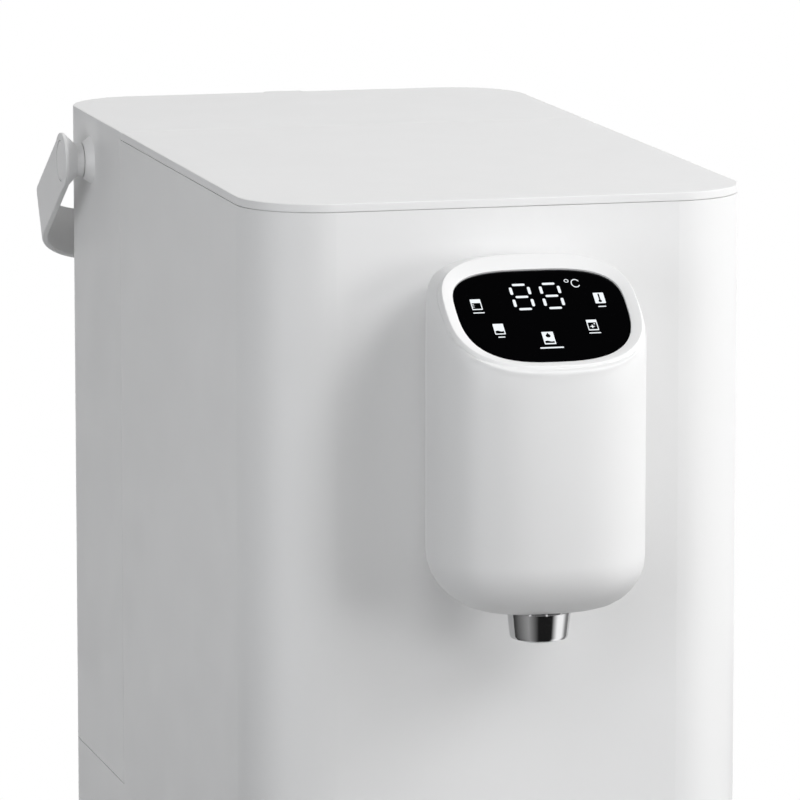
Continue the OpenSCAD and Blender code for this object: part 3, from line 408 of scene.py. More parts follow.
def polish_effect():
    group, start, end = effect(
        "polish_marks",
        [
            ("Colour", COLOUR, (0.6, 0.6, 0.6, 1)),
            ("Mark scale", NUMBER, 70.0),
            ("Smoothest", NUMBER, 0.05),
            ("Roughest", NUMBER, 0.1),
        ],
        [("Colour", COLOUR), ("Roughness", NUMBER)],
    )
    coords = group.nodes.new("ShaderNodeTexCoord").outputs["Object"]
    marks = noise(group, coords, start.outputs["Mark scale"], detail=5.0)
    tone_and_gloss(group, start, end, marks, POLISH_DARKEST, marks)
    return group


MOULDED, BRUSHED, POLISH = moulded_effect(), brushed_effect(), polish_effect()


# Finishes

WHITE = (0.83, 0.83, 0.83)
LID_WHITE = (0.82, 0.82, 0.82)
GREY = (0.36, 0.37, 0.38)
MILKY = (0.72, 0.75, 0.75)
BLACK = (0.03, 0.03, 0.032)
GLASS_BLACK = (0.0015, 0.0015, 0.0018)
RUBBER_BLACK = (0.028, 0.028, 0.03)
BOARD_GREEN = (0.03, 0.16, 0.07)
CHROME = (0.58, 0.58, 0.585)
STEEL = (0.6, 0.6, 0.61)
LIT_WHITE = (0.93, 0.97, 1.0)
LIT_MARKS, UNLIT, UNLIT_ROUGH = 400.0, (0.02, 0.02, 0.02, 1), 0.4
GRAIN_STRENGTH, LINE_STRENGTH, LINE_DEPTH = 0.4, 0.2, 0.02


def finish_with(name, group, target, settings):
    material = bpy.data.materials.new(name)
    material.use_nodes = True
    nodes, links = material.node_tree.nodes, material.node_tree.links
    shader = nodes["Principled BSDF"]
    skin = nodes.new("ShaderNodeGroup")
    skin.node_tree = group
    for label, value in settings.items():
        skin.inputs[label].default_value = value
    links.new(skin.outputs["Colour"], shader.inputs[target])
    return material, skin, shader


def glossed(name, group, colour, gloss, **settings):
    smoothest, roughest = gloss
    material, skin, shader = finish_with(name, group, "Base Color", {
        "Colour": (*colour, 1), "Smoothest": smoothest, "Roughest": roughest, **settings,
    })
    material.node_tree.links.new(skin.outputs["Roughness"], shader.inputs["Roughness"])
    return material, skin, shader


def relief(material, skin, output, strength, height):
    nodes, links = material.node_tree.nodes, material.node_tree.links
    bump = nodes.new("ShaderNodeBump")
    bump.inputs["Strength"].default_value = strength
    bump.inputs["Distance"].default_value = height
    links.new(skin.outputs[output], bump.inputs["Height"])
    links.new(bump.outputs["Normal"], nodes["Principled BSDF"].inputs["Normal"])


def moulded(name, colour, gloss, darkest=0.985, grain=1500.0, depth=0.02):
    patterns = {"Darkest": darkest, "Grain scale": grain}
    material, skin, _ = glossed(name, MOULDED, colour, gloss, **patterns)
    relief(material, skin, "Grain", GRAIN_STRENGTH, depth * MM)
    return material


def brushed(name, colour, gloss):
    material, skin, shader = glossed(name, BRUSHED, colour, gloss)
    shader.inputs["Metallic"].default_value = 1.0
    relief(material, skin, "Lines", LINE_STRENGTH, LINE_DEPTH * MM)
    return material


def polished(name, colour, gloss, metallic):
    material, _, shader = glossed(name, POLISH, colour, gloss)
    shader.inputs["Metallic"].default_value = metallic
    return material


def lit(name, colour):
    settings = {"Colour": (*colour, 1), "Mark scale": LIT_MARKS}
    material, _, shader = finish_with(name, POLISH, "Emission Color", settings)
    shader.inputs["Emission Strength"].default_value = 1.0
    shader.inputs["Base Color"].default_value = UNLIT
    shader.inputs["Roughness"].default_value = UNLIT_ROUGH
    return material


finishes = {
    "white_satin": moulded("white_satin", WHITE, gloss=(0.42, 0.5)),
    "white_lid": moulded("white_lid", LID_WHITE, gloss=(0.44, 0.52)),
    "grey_plastic": moulded("grey_plastic", GREY, gloss=(0.45, 0.6), darkest=0.94, grain=900.0, depth=0.05),
    "milky_plastic": moulded("milky_plastic", MILKY, gloss=(0.3, 0.42), darkest=0.95),
    "black_glass": polished("black_glass", GLASS_BLACK, gloss=(0.03, 0.06), metallic=0.0),
    "black_plastic": moulded("black_plastic", BLACK, gloss=(0.4, 0.55), darkest=0.9, grain=900.0, depth=0.05),
    "chrome": polished("chrome", CHROME, gloss=(0.05, 0.1), metallic=1.0),
    "steel": brushed("steel", STEEL, gloss=(0.24, 0.36)),
    "rubber": moulded("rubber", RUBBER_BLACK, gloss=(0.7, 0.85), darkest=0.85, grain=700.0, depth=0.06),
    "board": moulded("board", BOARD_GREEN, gloss=(0.3, 0.5), darkest=0.7, grain=400.0, depth=0.04),
}
lit_white = lit("lit_white", LIT_WHITE)

for row in frame["record"]["subparts"]:
    node = frame["nodes"][row["node"]]
    node.data.materials.clear()
    node.data.materials.append(finishes[row["material_slot"]])


# Spout pod and the ring round its glass, smoothed from the frame's facets

LEDGE_LOW, LEDGE_HIGH = -2.5 * MM, -0.03 * MM
LEDGE_EASE, LEDGE_PASSES = 0.5, 4
GROOVE_FILL = 0.55 * MM
GROOVE_LOW, GROOVE_HIGH = -0.1 * MM, 1.2 * GROOVE_FILL
GROOVE_OUT = 1.06
GROOVE_SHARES = (0.72, 0.8, 0.87, 0.92, 0.96)


def smoothed(node, name, degrees):
    piece = copy_of(frame["nodes"][node], name)
    only(piece)
    bpy.ops.mesh.customdata_custom_splitnormals_clear()
    open_mesh(piece)
    bpy.ops.mesh.select_all(action="SELECT")
    bpy.ops.mesh.remove_doubles(threshold=FRAME_WELD)
    close_mesh()
    smooth(piece, degrees)
    return hand_over(piece, finishes["white_satin"], "white_satin", "housing", node)


# Where a point lies along the glass, above the ring's seat and outside the ring's foot

def on_panel(point):
    lean, rise = math.cos(PANEL_TILT), math.sin(PANEL_TILT)
    away = point - glass_middle
    along, up = away.y * lean + away.z * rise, away.z * lean - away.y * rise
    share = (along + FOOT_FRONT) / (FOOT_FRONT + FOOT_REAR)
    seat = GLASS_SUNK - SEAT_FRONT - (SEAT_REAR - SEAT_FRONT) * share
    reach = FOOT_REAR if along > 0 else FOOT_FRONT
    outward = abs(point.x / FOOT_SIDE) ** FOOT_SQUARE + abs(along / reach) ** FOOT_SQUARE
    return along, up - seat, outward


def soften_shoulder(piece):
    def on_ledge(vert):
        _, over_seat, outward = on_panel(vert.co)
        return outward > 1 and LEDGE_LOW < over_seat < LEDGE_HIGH

    open_mesh(piece)
    pick(piece, "VERT", on_ledge)
    bpy.ops.mesh.vertices_smooth(factor=LEDGE_EASE, repeat=LEDGE_PASSES)
    close_mesh()


def fill_groove(piece):
    def in_groove(share):
        def wanted(vert):
            along, over_seat, outward = on_panel(vert.co)
            in_reach = along < -share * FOOT_FRONT and 1 < outward < GROOVE_OUT
            return in_reach and GROOVE_LOW < over_seat < GROOVE_HIGH
        return wanted

    lift = GROOVE_FILL / len(GROOVE_SHARES)
    open_mesh(piece)
    for share in GROOVE_SHARES:
        pick(piece, "VERT", in_groove(share))
        shift(0, -math.sin(PANEL_TILT) * lift, math.cos(PANEL_TILT) * lift)
    close_mesh()


pod = smoothed("head_shell", "spout_pod", POD_ANGLE)
soften_shoulder(pod)
fill_groove(pod)
smoothed("panel_bezel", "glass_surround", RING_ANGLE)


# Top cover and tank lid, each with a rib below, the lid with its finger tab

COVER_FIELD = 0.03


def finish_lid(piece, joint_y, side_x, body, node):
    pull(0, 0, -RIB_H)
    inset(RIB_T)
    pull(0, 0, RIB_H)
    joint_corner = upright_at(joint_y)
    round_edges(piece, lambda e: joint_corner(e) and near(abs(middle(e).x), side_x), EDGE_R, EDGE_STEPS)
    round_edges(piece, rim_at(top_z), COVER_EDGE, SOFT_STEPS)
    close_mesh()
    mend(piece)
    smooth_flats(piece, LID_ANGLE)
    return hand_over(piece, finishes["white_lid"], "white_lid", body, node)


def make_top_cover():
    piece = block(
        "cover_moulding", (cover_low.x, cover_low.y, rim_z + SEAM), (cover_high.x, cover_high.y, top_z)
    )
    open_mesh(piece)
    round_edges(piece, upright_at(cover_low.y), CORNER_R, CORNER_STEPS)
    pick(piece, "FACE", facing_down)
    inset(SEAM_IN)
    pull(0, 0, -SEAM)
    inset(RIB_IN - SEAM_IN)
    rib_rear = cover_high.y - RIB_IN
    pick(piece, "VERT", lambda v: near(v.co.z, rim_z) and near(v.co.y, rib_rear))
    shift(0, wall_y - FIT - rib_rear, 0)
    pick(piece, "FACE", lambda f: facing_down(f) and f.calc_area() > COVER_FIELD)
    return finish_lid(piece, cover_high.y, cover_high.x, "top_cover", "top_cover")


def make_tank_lid():
    piece = block("lid_moulding", (lid_low.x, lid_low.y, rim_z), (lid_high.x, rear_y, top_z))
    open_mesh(piece)
    round_edges(piece, upright_at(rear_y), CORNER_R, CORNER_STEPS)
    for place, facing in (
        ((-TAB_W / 2, 0, 0), (1, 0, 0)),
        ((TAB_W / 2, 0, 0), (1, 0, 0)),
        ((0, 0, top_z - TAB_T), (0, 0, 1)),
    ):
        bpy.ops.mesh.select_all(action="SELECT")
        bpy.ops.mesh.bisect(plane_co=place, plane_no=facing)
    pick(piece, "FACE", lambda f: (
        f.normal.y > SQUARE_ON
        and abs(f.calc_center_median().x) < TAB_W / 4
        and f.calc_center_median().z > top_z - TAB_T
    ))
    pull(0, lid_high.y - rear_y, 0)
    round_edges(piece, upright_at(lid_high.y), TAB_R, TAB_STEPS)
    pick(piece, "FACE", lambda f: facing_down(f) and near(f.calc_center_median().z, rim_z))
    inset(RIB_IN)
    return finish_lid(piece, lid_low.y, lid_high.x, "tank_lid", "tank_lid")


make_top_cover()
make_tank_lid()


# Strap handle, drawn lying back from the pivots and then let down

RIM_SLACK = 0.1 * MM
CAP_PLAY = 0.15 * MM


def make_handle():
    half = handle_high.x
    none_selected()
    bpy.ops.mesh.primitive_plane_add(
        size=1, location=(-half + STRAP_T / 2, 0, 0), rotation=(math.radians(90), 0, 0)
    )
    strap = bpy.context.object
    strap.scale = (STRAP_T, STRAP_W, 1)
    settle(strap)
    open_mesh(strap)
    bpy.ops.mesh.select_mode(type="FACE")
    bpy.ops.mesh.select_all(action="SELECT")
    straight = STRAP_REACH - STRAP_R
    pull(0, straight, 0)
    for side in (-1, 1):
        bpy.ops.mesh.spin(
            steps=BEND_STEPS, angle=math.radians(90), axis=(0, 0, 1),
            center=(side * (half - STRAP_R), straight, 0),
        )
        if side < 0:
            pull(2 * (half - STRAP_R), 0, 0)
    pull(0, -straight, 0)
    close_mesh()
    mend(strap)
    open_mesh(strap)
    round_edges(strap, sharp_edges(SHARP), STRAP_EDGE, SOFT_STEPS)
    close_mesh()
    blunt = sharp_edges(BLUNT)
    for side in (-1, 1):
        disc = drum("disc", DISC_R, DISC_RIM, (side * (half - DISC_RIM / 2), 0, 0), "X")
        open_mesh(disc)
        pick(disc, "FACE", lambda f: f.normal.x * side < -PARALLEL)
        pull(-side * (DISC_T - DISC_RIM), 0, 0)
        bpy.ops.transform.resize(value=(1, NECK_R / DISC_R, NECK_R / DISC_R))
        pull(-side * (half - DISC_T - shell_high.x - BOSS_H - FIT), 0, 0)
        rim_x = half - DISC_RIM - RIM_SLACK
        round_edges(disc, lambda e: blunt(e) and middle(e).x * side > rim_x, DISC_EDGE, SOFT_STEPS)
        close_mesh()
        carve(strap, disc, "UNION")
        carve(strap, drum("recess", CAP_R + CAP_PLAY, 2 * CAP_T, (side * half, 0, 0), "X"))
    strap.name = "handle_strap"
    strap.rotation_euler = (-STRAP_HANG, 0, 0)
    strap.location = pivot
    settle(strap)
    smooth_flats(strap, FINE_ANGLE)
    return hand_over(strap, finishes["white_satin"], "white_satin", "handle", "tank_handle")


make_handle()


# Caps over the pivot screws, each with two key slots

CAP_LOW = 0.1 * MM
SLOT_AWAY = 8.1 * MM
SLOT_HALF = Vector((0.6, 0.6, 0.7)) * MM


def make_caps():
    thick = CAP_T - CAP_LOW
    caps = []
    for side in (-1, 1):
        outer = side * caps_high.x
        cap = drum("cap", CAP_R, thick, (outer - side * thick / 2, pivot.y, pivot.z), "X")
        open_mesh(cap)
        round_edges(cap, sharp_edges(SHARP), CAP_EDGE, SOFT_STEPS)
        close_mesh()
        for end in (-1, 1):
            at = Vector((outer, pivot.y, pivot.z + end * SLOT_AWAY))
            carve(cap, block("slot", at - SLOT_HALF, at + SLOT_HALF))
        caps.append(cap)
    piece = join("pivot_covers", caps)
    smooth_flats(piece, FINE_ANGLE)
    return hand_over(piece, finishes["white_satin"], "white_satin", "handle", "pivot_caps")


make_caps()


# Nozzle ring, turned from its section with rounds in millimetres, and small notches round the crown

TIP_ROUND = ((1.0, 0.0), (0.3, 0.25), (0.0, 1.0))
CROWN_ROUND = ((0.0, 0.4), (0.15, 0.1), (0.4, 0.0))
TAPER_ENDS = (0.04, 0.96)
NOTCHES, NOTCH_TURN = 12, -1
NOTCH_HALF = Vector((0.45, 0.45, 0.6)) * MM


def turned(name, section, centre):
    none_selected()
    bpy.ops.mesh.primitive_plane_add(size=MM, location=centre)
    piece = bpy.context.object
    piece.name = name
    settle(piece)
    open_mesh(piece)
    bpy.ops.mesh.select_mode(type="VERT")
    bpy.ops.mesh.select_all(action="SELECT")
    bpy.ops.mesh.merge(type="CENTER")
    bpy.ops.mesh.select_all(action="SELECT")
    shift(section[0][0], 0, section[0][1] - centre.z)
    for here, there in zip(section, section[1:]):
        pull(there[0] - here[0], 0, there[1] - here[1])
    pick(piece, "VERT", lambda v: len(v.link_edges) == 1)
    bpy.ops.mesh.edge_face_add()
    bpy.ops.mesh.select_all(action="SELECT")
    bpy.ops.mesh.spin(steps=ROUND_SIDES, angle=2 * math.pi, center=centre, axis=(0, 0, 1))
    close_mesh()
    mend(piece)
    return piece


def make_nozzle():
    tip, crown = ring_low.z, ring_low.z + NOZZLE_H
    centre = Vector(((ring_low.x + ring_high.x) / 2, (ring_low.y + ring_high.y) / 2, tip))
    top_r = (ring_high.x - ring_low.x) / 2

    def along_taper(share):
        low, high = tip + TIP_ROUND[-1][1] * MM, crown - CROWN_ROUND[0][1] * MM
        return NOZZLE_TIP_R + (top_r - NOZZLE_TIP_R) * share, low + (high - low) * share

    piece = turned("polished_nozzle", [
        (NOZZLE_BORE_R, tip),
        *[(NOZZLE_TIP_R - inward * MM, tip + up * MM) for inward, up in TIP_ROUND],
        *[along_taper(share) for share in TAPER_ENDS],
        *[(top_r - inward * MM, crown - down * MM) for inward, down in CROWN_ROUND],
        (NOZZLE_SPIGOT_R, crown),
        (NOZZLE_SPIGOT_R, ring_high.z),
        (NOZZLE_BORE_R, ring_high.z),
    ], centre)
    for step in range(NOTCHES):
        turn = math.radians(360 / NOTCHES * step + NOTCH_TURN)
        at = Vector((centre.x + math.sin(turn) * top_r, centre.y - math.cos(turn) * top_r, crown))
        carve(piece, block("notch", at - NOTCH_HALF, at + NOTCH_HALF))
    smooth(piece, FINE_ANGLE)
    return hand_over(piece, finishes["chrome"], "chrome", "housing", "nozzle_ring")


make_nozzle()


# Drip tray

def make_tray():
    piece = block("tray_moulding", tray_low, tray_high)
    open_mesh(piece)
    round_edges(piece, upright_at(tray_low.y), TRAY_R, TRAY_STEPS)
    round_edges(piece, upright_at(tray_high.y), TRAY_REAR_R, TRAY_REAR_STEPS)
    pick(piece, "FACE", lambda f: f.normal.z > SQUARE_ON)
    inset(TRAY_WALL)
    pull(0, 0, grille_z - tray_high.z)
    inset(TRAY_SHELF)
    pull(0, 0, tray_low.z + TRAY_FLOOR_T - grille_z)
    round_edges(piece, rim_at(tray_low.z), TRAY_EDGE, SOFT_STEPS)
    round_edges(piece, rim_at(tray_high.z), TRAY_RIM_EDGE, SOFT_STEPS)
    close_mesh()
    mend(piece)
    smooth_flats(piece, LID_ANGLE)
    return hand_over(piece, finishes["white_satin"], "white_satin", "tray", "drip_tray")


make_tray()


# Lit signs on the glass: two digits, the degree sign, five touch signs and plain bars, in millimetres

SIGN_T = 0.06 * MM
CUT_T = 6 * SIGN_T
DIGIT_W, DIGIT_H, STROKE, STROKE_CORNER = 8.2, 14.2, 1.12, 0.5
FLAT_STROKE, TALL_STROKE = 4.95, 3.9
DOT_R, DOT_LINE, DOT_U, DOT_V = 0.92, 0.3, -2.4, 1.45
BOW_R, BOW_LINE, BOW_U, BOW_SLIM = 2.25, 0.45, 0.9, 0.78
RING_SIDES, BULB_SIDES, DROP_SIDES, GLINT_SIDES, STAR_SIDES = 48, 32, 24, 16, 8
WAVE_COLUMNS, WAVE_LIFT = 12, 0.26
DROP_TOP, DROP_SLIM, DROP_RISE = 0.93, 0.15, 0.75
STAR_BAND, STAR_WAIST = 0.3, 0.36
TILE_CORNER, WINDOW_W, WINDOW_CORNER = 0.2, 3.35, 0.15
LABEL_ROUND, LABEL_U = 0.4, 0.12


def onto_glass(piece, u, v):
    piece.rotation_euler = (PANEL_TILT, 0, 0)
    piece.location = (
        u * MM,
        panel_y + v * MM * math.cos(PANEL_TILT),
        panel_z + v * MM * math.sin(PANEL_TILT),
    )
    settle(piece)
    return hand_over(piece, lit_white, "black_glass", "housing")


def plate(name, width, height, corner, u=0.0, v=0.0, thick=SIGN_T):
    piece = block(
        name,
        Vector((u - width / 2, v - height / 2, 0)) * MM - Vector((0, 0, thick / 2)),
        Vector((u + width / 2, v + height / 2, 0)) * MM + Vector((0, 0, thick / 2)),
    )
    open_mesh(piece)
    round_edges(piece, upright, corner * MM, SOFT_STEPS)
    close_mesh()
    return piece


def moved(piece, u, v):
    piece.location = (u * MM, v * MM, 0)
    return settle(piece)


def make_digit(name, u, v):
    across, aside = DIGIT_W / 2 - STROKE / 2, DIGIT_H / 2 - STROKE / 2
    flat = plate("stroke", FLAT_STROKE, STROKE, STROKE_CORNER)
    tall = plate("stroke", STROKE, TALL_STROKE, STROKE_CORNER)
    strokes = [moved(copy_of(flat, "stroke"), 0, place) for place in (-aside, 0, aside)]
    for side in (-1, 1):
        for place in (-aside / 2, aside / 2):
            strokes.append(moved(copy_of(tall, "stroke"), side * across, place))
    bpy.data.objects.remove(flat)
    bpy.data.objects.remove(tall)
    return onto_glass(join(name, strokes), u, v)


def ring(name, radius, width):
    piece = drum(name, radius * MM, SIGN_T, (0, 0, 0), sides=RING_SIDES)
    carve(piece, drum("bore", (radius - width) * MM, CUT_T, (0, 0, 0), sides=RING_SIDES))
    return piece


def make_degree(u, v):
    dot = moved(ring("dot", DOT_R, DOT_LINE), DOT_U, DOT_V)
    bow = ring("bow", BOW_R, BOW_LINE)
    bow.scale = (BOW_SLIM, 1, 1)
    moved(bow, BOW_U, 0)
    carve(bow, plate("gap", width=2.4, height=2.1, corner=0.2, u=2.5, thick=CUT_T))
    return onto_glass(join("degree_sign", [dot, bow]), u, v)


def wave(width, height, v):
    none_selected()
    bpy.ops.mesh.primitive_grid_add(x_subdivisions=WAVE_COLUMNS, y_subdivisions=1, size=1)
    piece = bpy.context.object
    piece.scale = (width * MM, height * MM, 1)
    piece.location = (0, v * MM, -CUT_T / 2)
    settle(piece)
    open_mesh(piece)
    step = width * MM / WAVE_COLUMNS
    for column in range(WAVE_COLUMNS + 1):
        lift = WAVE_LIFT * math.sin(column / WAVE_COLUMNS * 2 * math.pi)
        place = -width * MM / 2 + column * step
        pick(piece, "VERT", lambda p: near(p.co.x, place, step / 4) and p.co.y > v * MM)
        shift(0, lift * MM, 0)
    bpy.ops.mesh.select_all(action="SELECT")
    pull(0, 0, CUT_T)
    close_mesh()
    mend(piece)
    return piece


def drop(radius, v):
    piece = drum("drop", radius * MM, CUT_T, (0, v * MM, 0), sides=DROP_SIDES)
    open_mesh(piece)
    pick(piece, "VERT", lambda p: p.co.y > (v + DROP_TOP * radius) * MM)
    bpy.ops.transform.resize(value=(DROP_SLIM, 1, 1))
    shift(0, DROP_RISE * radius * MM, 0)
    close_mesh()
    return piece


def star(radius):
    piece = drum("star", radius * MM, SIGN_T, (0, 0, 0), sides=STAR_SIDES)
    open_mesh(piece)
    band = STAR_BAND * radius * MM
    pick(piece, "VERT", lambda p: abs(p.co.x) > band and abs(p.co.y) > band)
    bpy.ops.transform.resize(value=(STAR_WAIST, STAR_WAIST, 1))
    close_mesh()
    return piece


def window(height, v):
    return plate("window", WINDOW_W, height, WINDOW_CORNER, v=v, thick=CUT_T)


def measure_shape(tile):
    carve(tile, window(height=3.2, v=-0.75))
    return [plate("tick", width=0.8, height=0.22, corner=0.08, u=-1.3, v=v) for v in (0.2, -0.55, -1.3)]


def tank_shape(tile):
    carve(tile, wave(width=3.3, height=1.35, v=-1.65))
    return []


def drop_shape(tile):
    carve(tile, drop(radius=0.95, v=1.2))
    carve(tile, wave(width=3.6, height=1.1, v=-2.15))
    return []


def sparkle_shape(tile):
    carve(tile, window(height=3.7, v=-0.45))
    twinkle = moved(star(radius=1.1), u=-0.15, v=-0.75)
    glint = drum("glint", radius=0.3 * MM, depth=SIGN_T, centre=(0, 0, 0), sides=GLINT_SIDES)
    return [twinkle, moved(glint, u=0.85, v=0.6)]


def warmth_shape(tile):
    carve(tile, plate("stem", width=0.62, height=4.0, corner=0.28, v=0.4, thick=CUT_T))
    carve(tile, drum("bulb", radius=0.68 * MM, depth=CUT_T, centre=(0, -1.6 * MM, 0), sides=BULB_SIDES))
    return []


def make_sign(name, shape, u, v, bar_v, bar_w, bar_h=0.5, tile_w=4.05, tile_h=5.65):
    tile = plate("tile", tile_w, tile_h, TILE_CORNER)
    extra = shape(tile)
    label = plate("label", bar_w, bar_h, LABEL_ROUND * bar_h, LABEL_U, bar_v - v)
    return onto_glass(join(name, [tile, *extra, label]), u, v)


make_digit("digit_tens", u=-6.06, v=6.65)
make_digit("digit_units", u=5.67, v=6.65)
make_degree(u=15.4, v=12.95)
make_sign("sign_measure", measure_shape, u=-24.6, v=3.45, bar_v=-1.0, bar_w=4.4)
make_sign("sign_tank", tank_shape, u=-18.66, v=-10.05, bar_v=-14.3, bar_w=2.7)
make_sign(
    "sign_drop", drop_shape, u=-0.6, v=-15.75, bar_v=-20.9, bar_w=9.2, bar_h=0.7, tile_w=4.45, tile_h=6.6
)
make_sign("sign_sparkle", sparkle_shape, u=17.8, v=-9.75, bar_v=-13.95, bar_w=4.6)
make_sign("sign_warmth", warmth_shape, u=23.8, v=4.55, bar_v=0.0, bar_w=3.1)


# Floor, and a dark card above that only the polish and the glass see

FLOOR_R, FLOOR_DROP = 6, 0.0002
FLOOR_THROWN, FLOOR_SHOWN = 0.3, 0.95
FADE_NEAR, FADE_FAR = 0.26, 0.42
CARD_SIZE, CARD_AWAY = (1.0, 0.9), Vector((0.25, 0.14, 0.96))


def bare_material(name):
    material = bpy.data.materials.new(name)
    material.use_nodes = True
    nodes, links = material.node_tree.nodes, material.node_tree.links
    nodes.clear()
    return material, nodes, links, nodes.new("ShaderNodeOutputMaterial")


def seen_rays(nodes, links):
    path = nodes.new("ShaderNodeLightPath")
    total = path.outputs["Is Camera Ray"]
    for label in ("Is Glossy Ray", "Is Transmission Ray"):
        most = nodes.new("ShaderNodeMath")
        most.operation = "MAXIMUM"
        links.new(total, most.inputs[0])
        links.new(path.outputs[label], most.inputs[1])
        total = most.outputs[0]
    return total


def floor_material(name):
    material, nodes, links, out = bare_material(name)
    plain = nodes.new("ShaderNodeBsdfDiffuse")
    white = nodes.new("ShaderNodeEmission")
    seen = seen_rays(nodes, links)
    tone = nodes.new("ShaderNodeMapRange")
    tone.inputs["To Min"].default_value = FLOOR_THROWN
    tone.inputs["To Max"].default_value = FLOOR_SHOWN
    links.new(seen, tone.inputs["Value"])
    links.new(tone.outputs["Result"], plain.inputs["Color"])
    reach = nodes.new("ShaderNodeVectorMath")
    reach.operation = "LENGTH"
    links.new(nodes.new("ShaderNodeTexCoord").outputs["Object"], reach.inputs[0])
    far = nodes.new("ShaderNodeMapRange")
    far.interpolation_type = "SMOOTHSTEP"
    far.inputs["From Min"].default_value = FADE_NEAR
    far.inputs["From Max"].default_value = FADE_FAR
    links.new(reach.outputs["Value"], far.inputs["Value"])
    both = nodes.new("ShaderNodeMath")
    both.operation = "MULTIPLY"
    links.new(far.outputs["Result"], both.inputs[0])
    links.new(seen, both.inputs[1])
    mix = nodes.new("ShaderNodeMixShader")
    links.new(both.outputs[0], mix.inputs["Fac"])
    links.new(plain.outputs["BSDF"], mix.inputs[1])
    links.new(white.outputs["Emission"], mix.inputs[2])
    links.new(mix.outputs["Shader"], out.inputs["Surface"])
    return material


def make_floor():
    none_selected()
    bpy.ops.mesh.primitive_circle_add(
        vertices=ROUND_SIDES, radius=FLOOR_R, fill_type="NGON", location=(0, 0, cad_box[0][2] - FLOOR_DROP)
    )
    floor = bpy.context.object
    floor.name = "floor"
    floor.data.materials.append(floor_material("floor_pale"))


def only_in_polish(card):
    card.visible_camera = False
    card.visible_diffuse = False
    card.visible_transmission = False
    card.visible_volume_scatter = False
    card.visible_shadow = False


def aimed(place, aim):
    return (aim - place).to_track_quat("-Z", "Y").to_euler()


def dark_material(name):
    material, nodes, links, out = bare_material(name)
    sheet = nodes.new("ShaderNodeEmission")
    sheet.inputs["Strength"].default_value = 0.0
    links.new(sheet.outputs["Emission"], out.inputs["Surface"])
    return material


def make_dark_card(name):
    place = glass_middle + CARD_AWAY
    none_selected()
    bpy.ops.mesh.primitive_plane_add(size=1, location=place)
    card = bpy.context.object
    card.name = name
    card.scale = (*CARD_SIZE, 1)
    card.rotation_euler = aimed(place, glass_middle)
    card.data.materials.append(dark_material(name))
    only_in_polish(card)


make_floor()
make_dark_card("dark_card_above")


# Low graded screen and mat that stand in front, seen only in the polish: their glow is a painted reflection,
# the light and dark bands that the polished nozzle shows

SCREEN_R, SCREEN_HIGH, SCREEN_BACK, SCREEN_GLOW = 0.42, 0.135, 0.33, 1.45
SCREEN_LIFT = 0.0005
# Painted reflection bands: glow tone by angle round the nozzle, in degrees from the front
PAINTED_REFLECTION_TONES = (
    (-140, 0.1), (-118, 0.04), (-55, 0.3), (-16, 0.012), (36, 0.012), (60, 1.0), (84, 1.0), (106, 0.2),
)


def painted_reflection_material(name):
    material, nodes, links, out = bare_material(name)
    parts = nodes.new("ShaderNodeSeparateXYZ")
    links.new(nodes.new("ShaderNodeTexCoord").outputs["Object"], parts.inputs["Vector"])
    front = nodes.new("ShaderNodeMath")
    front.operation = "MULTIPLY"
    front.inputs[1].default_value = -1.0
    links.new(parts.outputs["Y"], front.inputs[0])
    turn = nodes.new("ShaderNodeMath")
    turn.operation = "ARCTAN2"
    links.new(parts.outputs["X"], turn.inputs[0])
    links.new(front.outputs[0], turn.inputs[1])
    share = nodes.new("ShaderNodeMapRange")
    share.inputs["From Min"].default_value = -math.pi
    share.inputs["From Max"].default_value = math.pi
    links.new(turn.outputs[0], share.inputs["Value"])
    # The ramp paints the nozzle's reflection bands by angle
    tones = nodes.new("ShaderNodeValToRGB")
    marks = tones.color_ramp.elements
    while len(marks) < len(PAINTED_REFLECTION_TONES):
        marks.new(1.0)
    for mark, (degrees, tone) in zip(marks, PAINTED_REFLECTION_TONES):
        mark.position = (degrees + 180) / 360
        mark.color = (tone, tone, tone, 1)
    links.new(share.outputs["Result"], tones.inputs["Fac"])
    sheet = nodes.new("ShaderNodeEmission")
    sheet.inputs["Strength"].default_value = SCREEN_GLOW
    links.new(tones.outputs["Color"], sheet.inputs["Color"])
    links.new(sheet.outputs["Emission"], out.inputs["Surface"])
    return material


def make_screen(name):
    axis = (ring_low + ring_high) / 2
    centre = (axis.x, axis.y, cad_box[0][2] + SCREEN_LIFT + SCREEN_HIGH / 2)
    none_selected()
    bpy.ops.mesh.primitive_cylinder_add(
        vertices=ROUND_SIDES, radius=SCREEN_R, depth=SCREEN_HIGH, location=centre
    )
    screen = bpy.context.object
    screen.name = name
    open_mesh(screen)
    pick(screen, "FACE", lambda f: f.normal.z > LEANING or f.calc_center_median().y > SCREEN_BACK)
    bpy.ops.mesh.delete(type="FACE")
    close_mesh()
    screen.data.materials.append(painted_reflection_material(name))
    only_in_polish(screen)


make_screen("painted_reflection_screen")


# Light

AROUND = 0.035
PLAIN, COOL = (1.0, 1.0, 1.0), (0.965, 0.98, 1.0)
LAMP_AIM, LAMP_REACH = Vector((0, front_y, 0.25)), 2.5


def make_lamp(name, side, up, size, watts, tint=PLAIN, in_polish=True):
    around, above = math.radians(side), math.radians(up)
    flat = math.cos(above)
    way = Vector((math.sin(around) * flat, -math.cos(around) * flat, math.sin(above)))
    lamp = bpy.data.lights.new(name, "AREA")
    lamp.shape = "RECTANGLE"
    lamp.size, lamp.size_y = size
    lamp.energy = watts
    lamp.color = tint
    holder = bpy.data.objects.new(name, lamp)
    bpy.context.scene.collection.objects.link(holder)
    holder.location = LAMP_AIM + way * LAMP_REACH
    holder.rotation_euler = aimed(holder.location, LAMP_AIM)
    holder.visible_glossy = in_polish


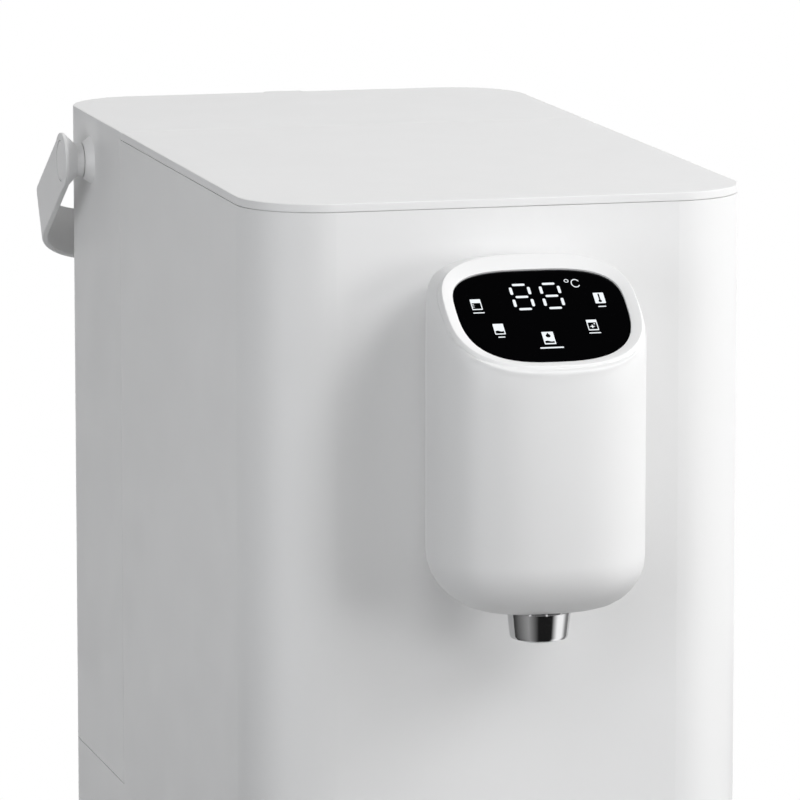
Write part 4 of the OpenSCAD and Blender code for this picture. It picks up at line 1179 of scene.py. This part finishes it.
def make_world(strength):
    world = bpy.data.worlds.new("studio")
    world.use_nodes = True
    nodes, links = world.node_tree.nodes, world.node_tree.links
    nodes.clear()
    out = nodes.new("ShaderNodeOutputWorld")
    around = nodes.new("ShaderNodeBackground")
    around.inputs["Color"].default_value = (1, 1, 1, 1)
    around.inputs["Strength"].default_value = strength
    white = nodes.new("ShaderNodeBackground")
    white.inputs["Color"].default_value = (1, 1, 1, 1)
    white.inputs["Strength"].default_value = 1.0
    mix = nodes.new("ShaderNodeMixShader")
    links.new(seen_rays(nodes, links), mix.inputs["Fac"])
    links.new(around.outputs["Background"], mix.inputs[1])
    links.new(white.outputs["Background"], mix.inputs[2])
    links.new(mix.outputs["Shader"], out.inputs["Surface"])
    bpy.context.scene.world = world


make_lamp("key", side=75, up=42, size=(1.0, 1.0), watts=33.5, in_polish=False)
make_lamp("key_side", side=72, up=14, size=(1.0, 1.0), watts=11, in_polish=False)
make_lamp("key_high", side=45, up=48, size=(0.9, 0.9), watts=8.5)
make_lamp("key_front", side=28, up=34, size=(0.8, 0.8), watts=9)
make_lamp("key_low", side=33, up=8, size=(0.7, 0.7), watts=9.3, in_polish=False)
make_lamp("low_side", side=60, up=2, size=(0.9, 0.7), watts=3)
make_lamp("front_high", side=-18, up=40, size=(1.0, 1.0), watts=10.3)
make_lamp("front_left", side=-55, up=8, size=(1.0, 1.2), watts=14.2, tint=COOL)
make_lamp("left", side=-80, up=15, size=(1.2, 1.6), watts=7.8, tint=COOL)
make_lamp("back", side=180, up=40, size=(1.6, 1.2), watts=11, in_polish=False)
make_lamp("back_low", side=158, up=8, size=(0.5, 1.0), watts=12, in_polish=False)
make_world(AROUND)


# Camera at the photograph's angle

CAMERA_PLACE = (-0.64731, front_y - 2.34204, 0.70033)
CAMERA_TURN = (math.radians(80.731), 0, math.radians(-14.467))

camera = bpy.data.cameras.new("camera")
camera.sensor_width = 36
camera.lens = 288.34
camera.clip_end = 50
viewer = bpy.data.objects.new("camera", camera)
bpy.context.scene.collection.objects.link(viewer)
viewer.location = CAMERA_PLACE
viewer.rotation_euler = CAMERA_TURN
bpy.context.scene.camera = viewer
bpy.context.scene.view_settings.view_transform = "Standard"

none_selected()
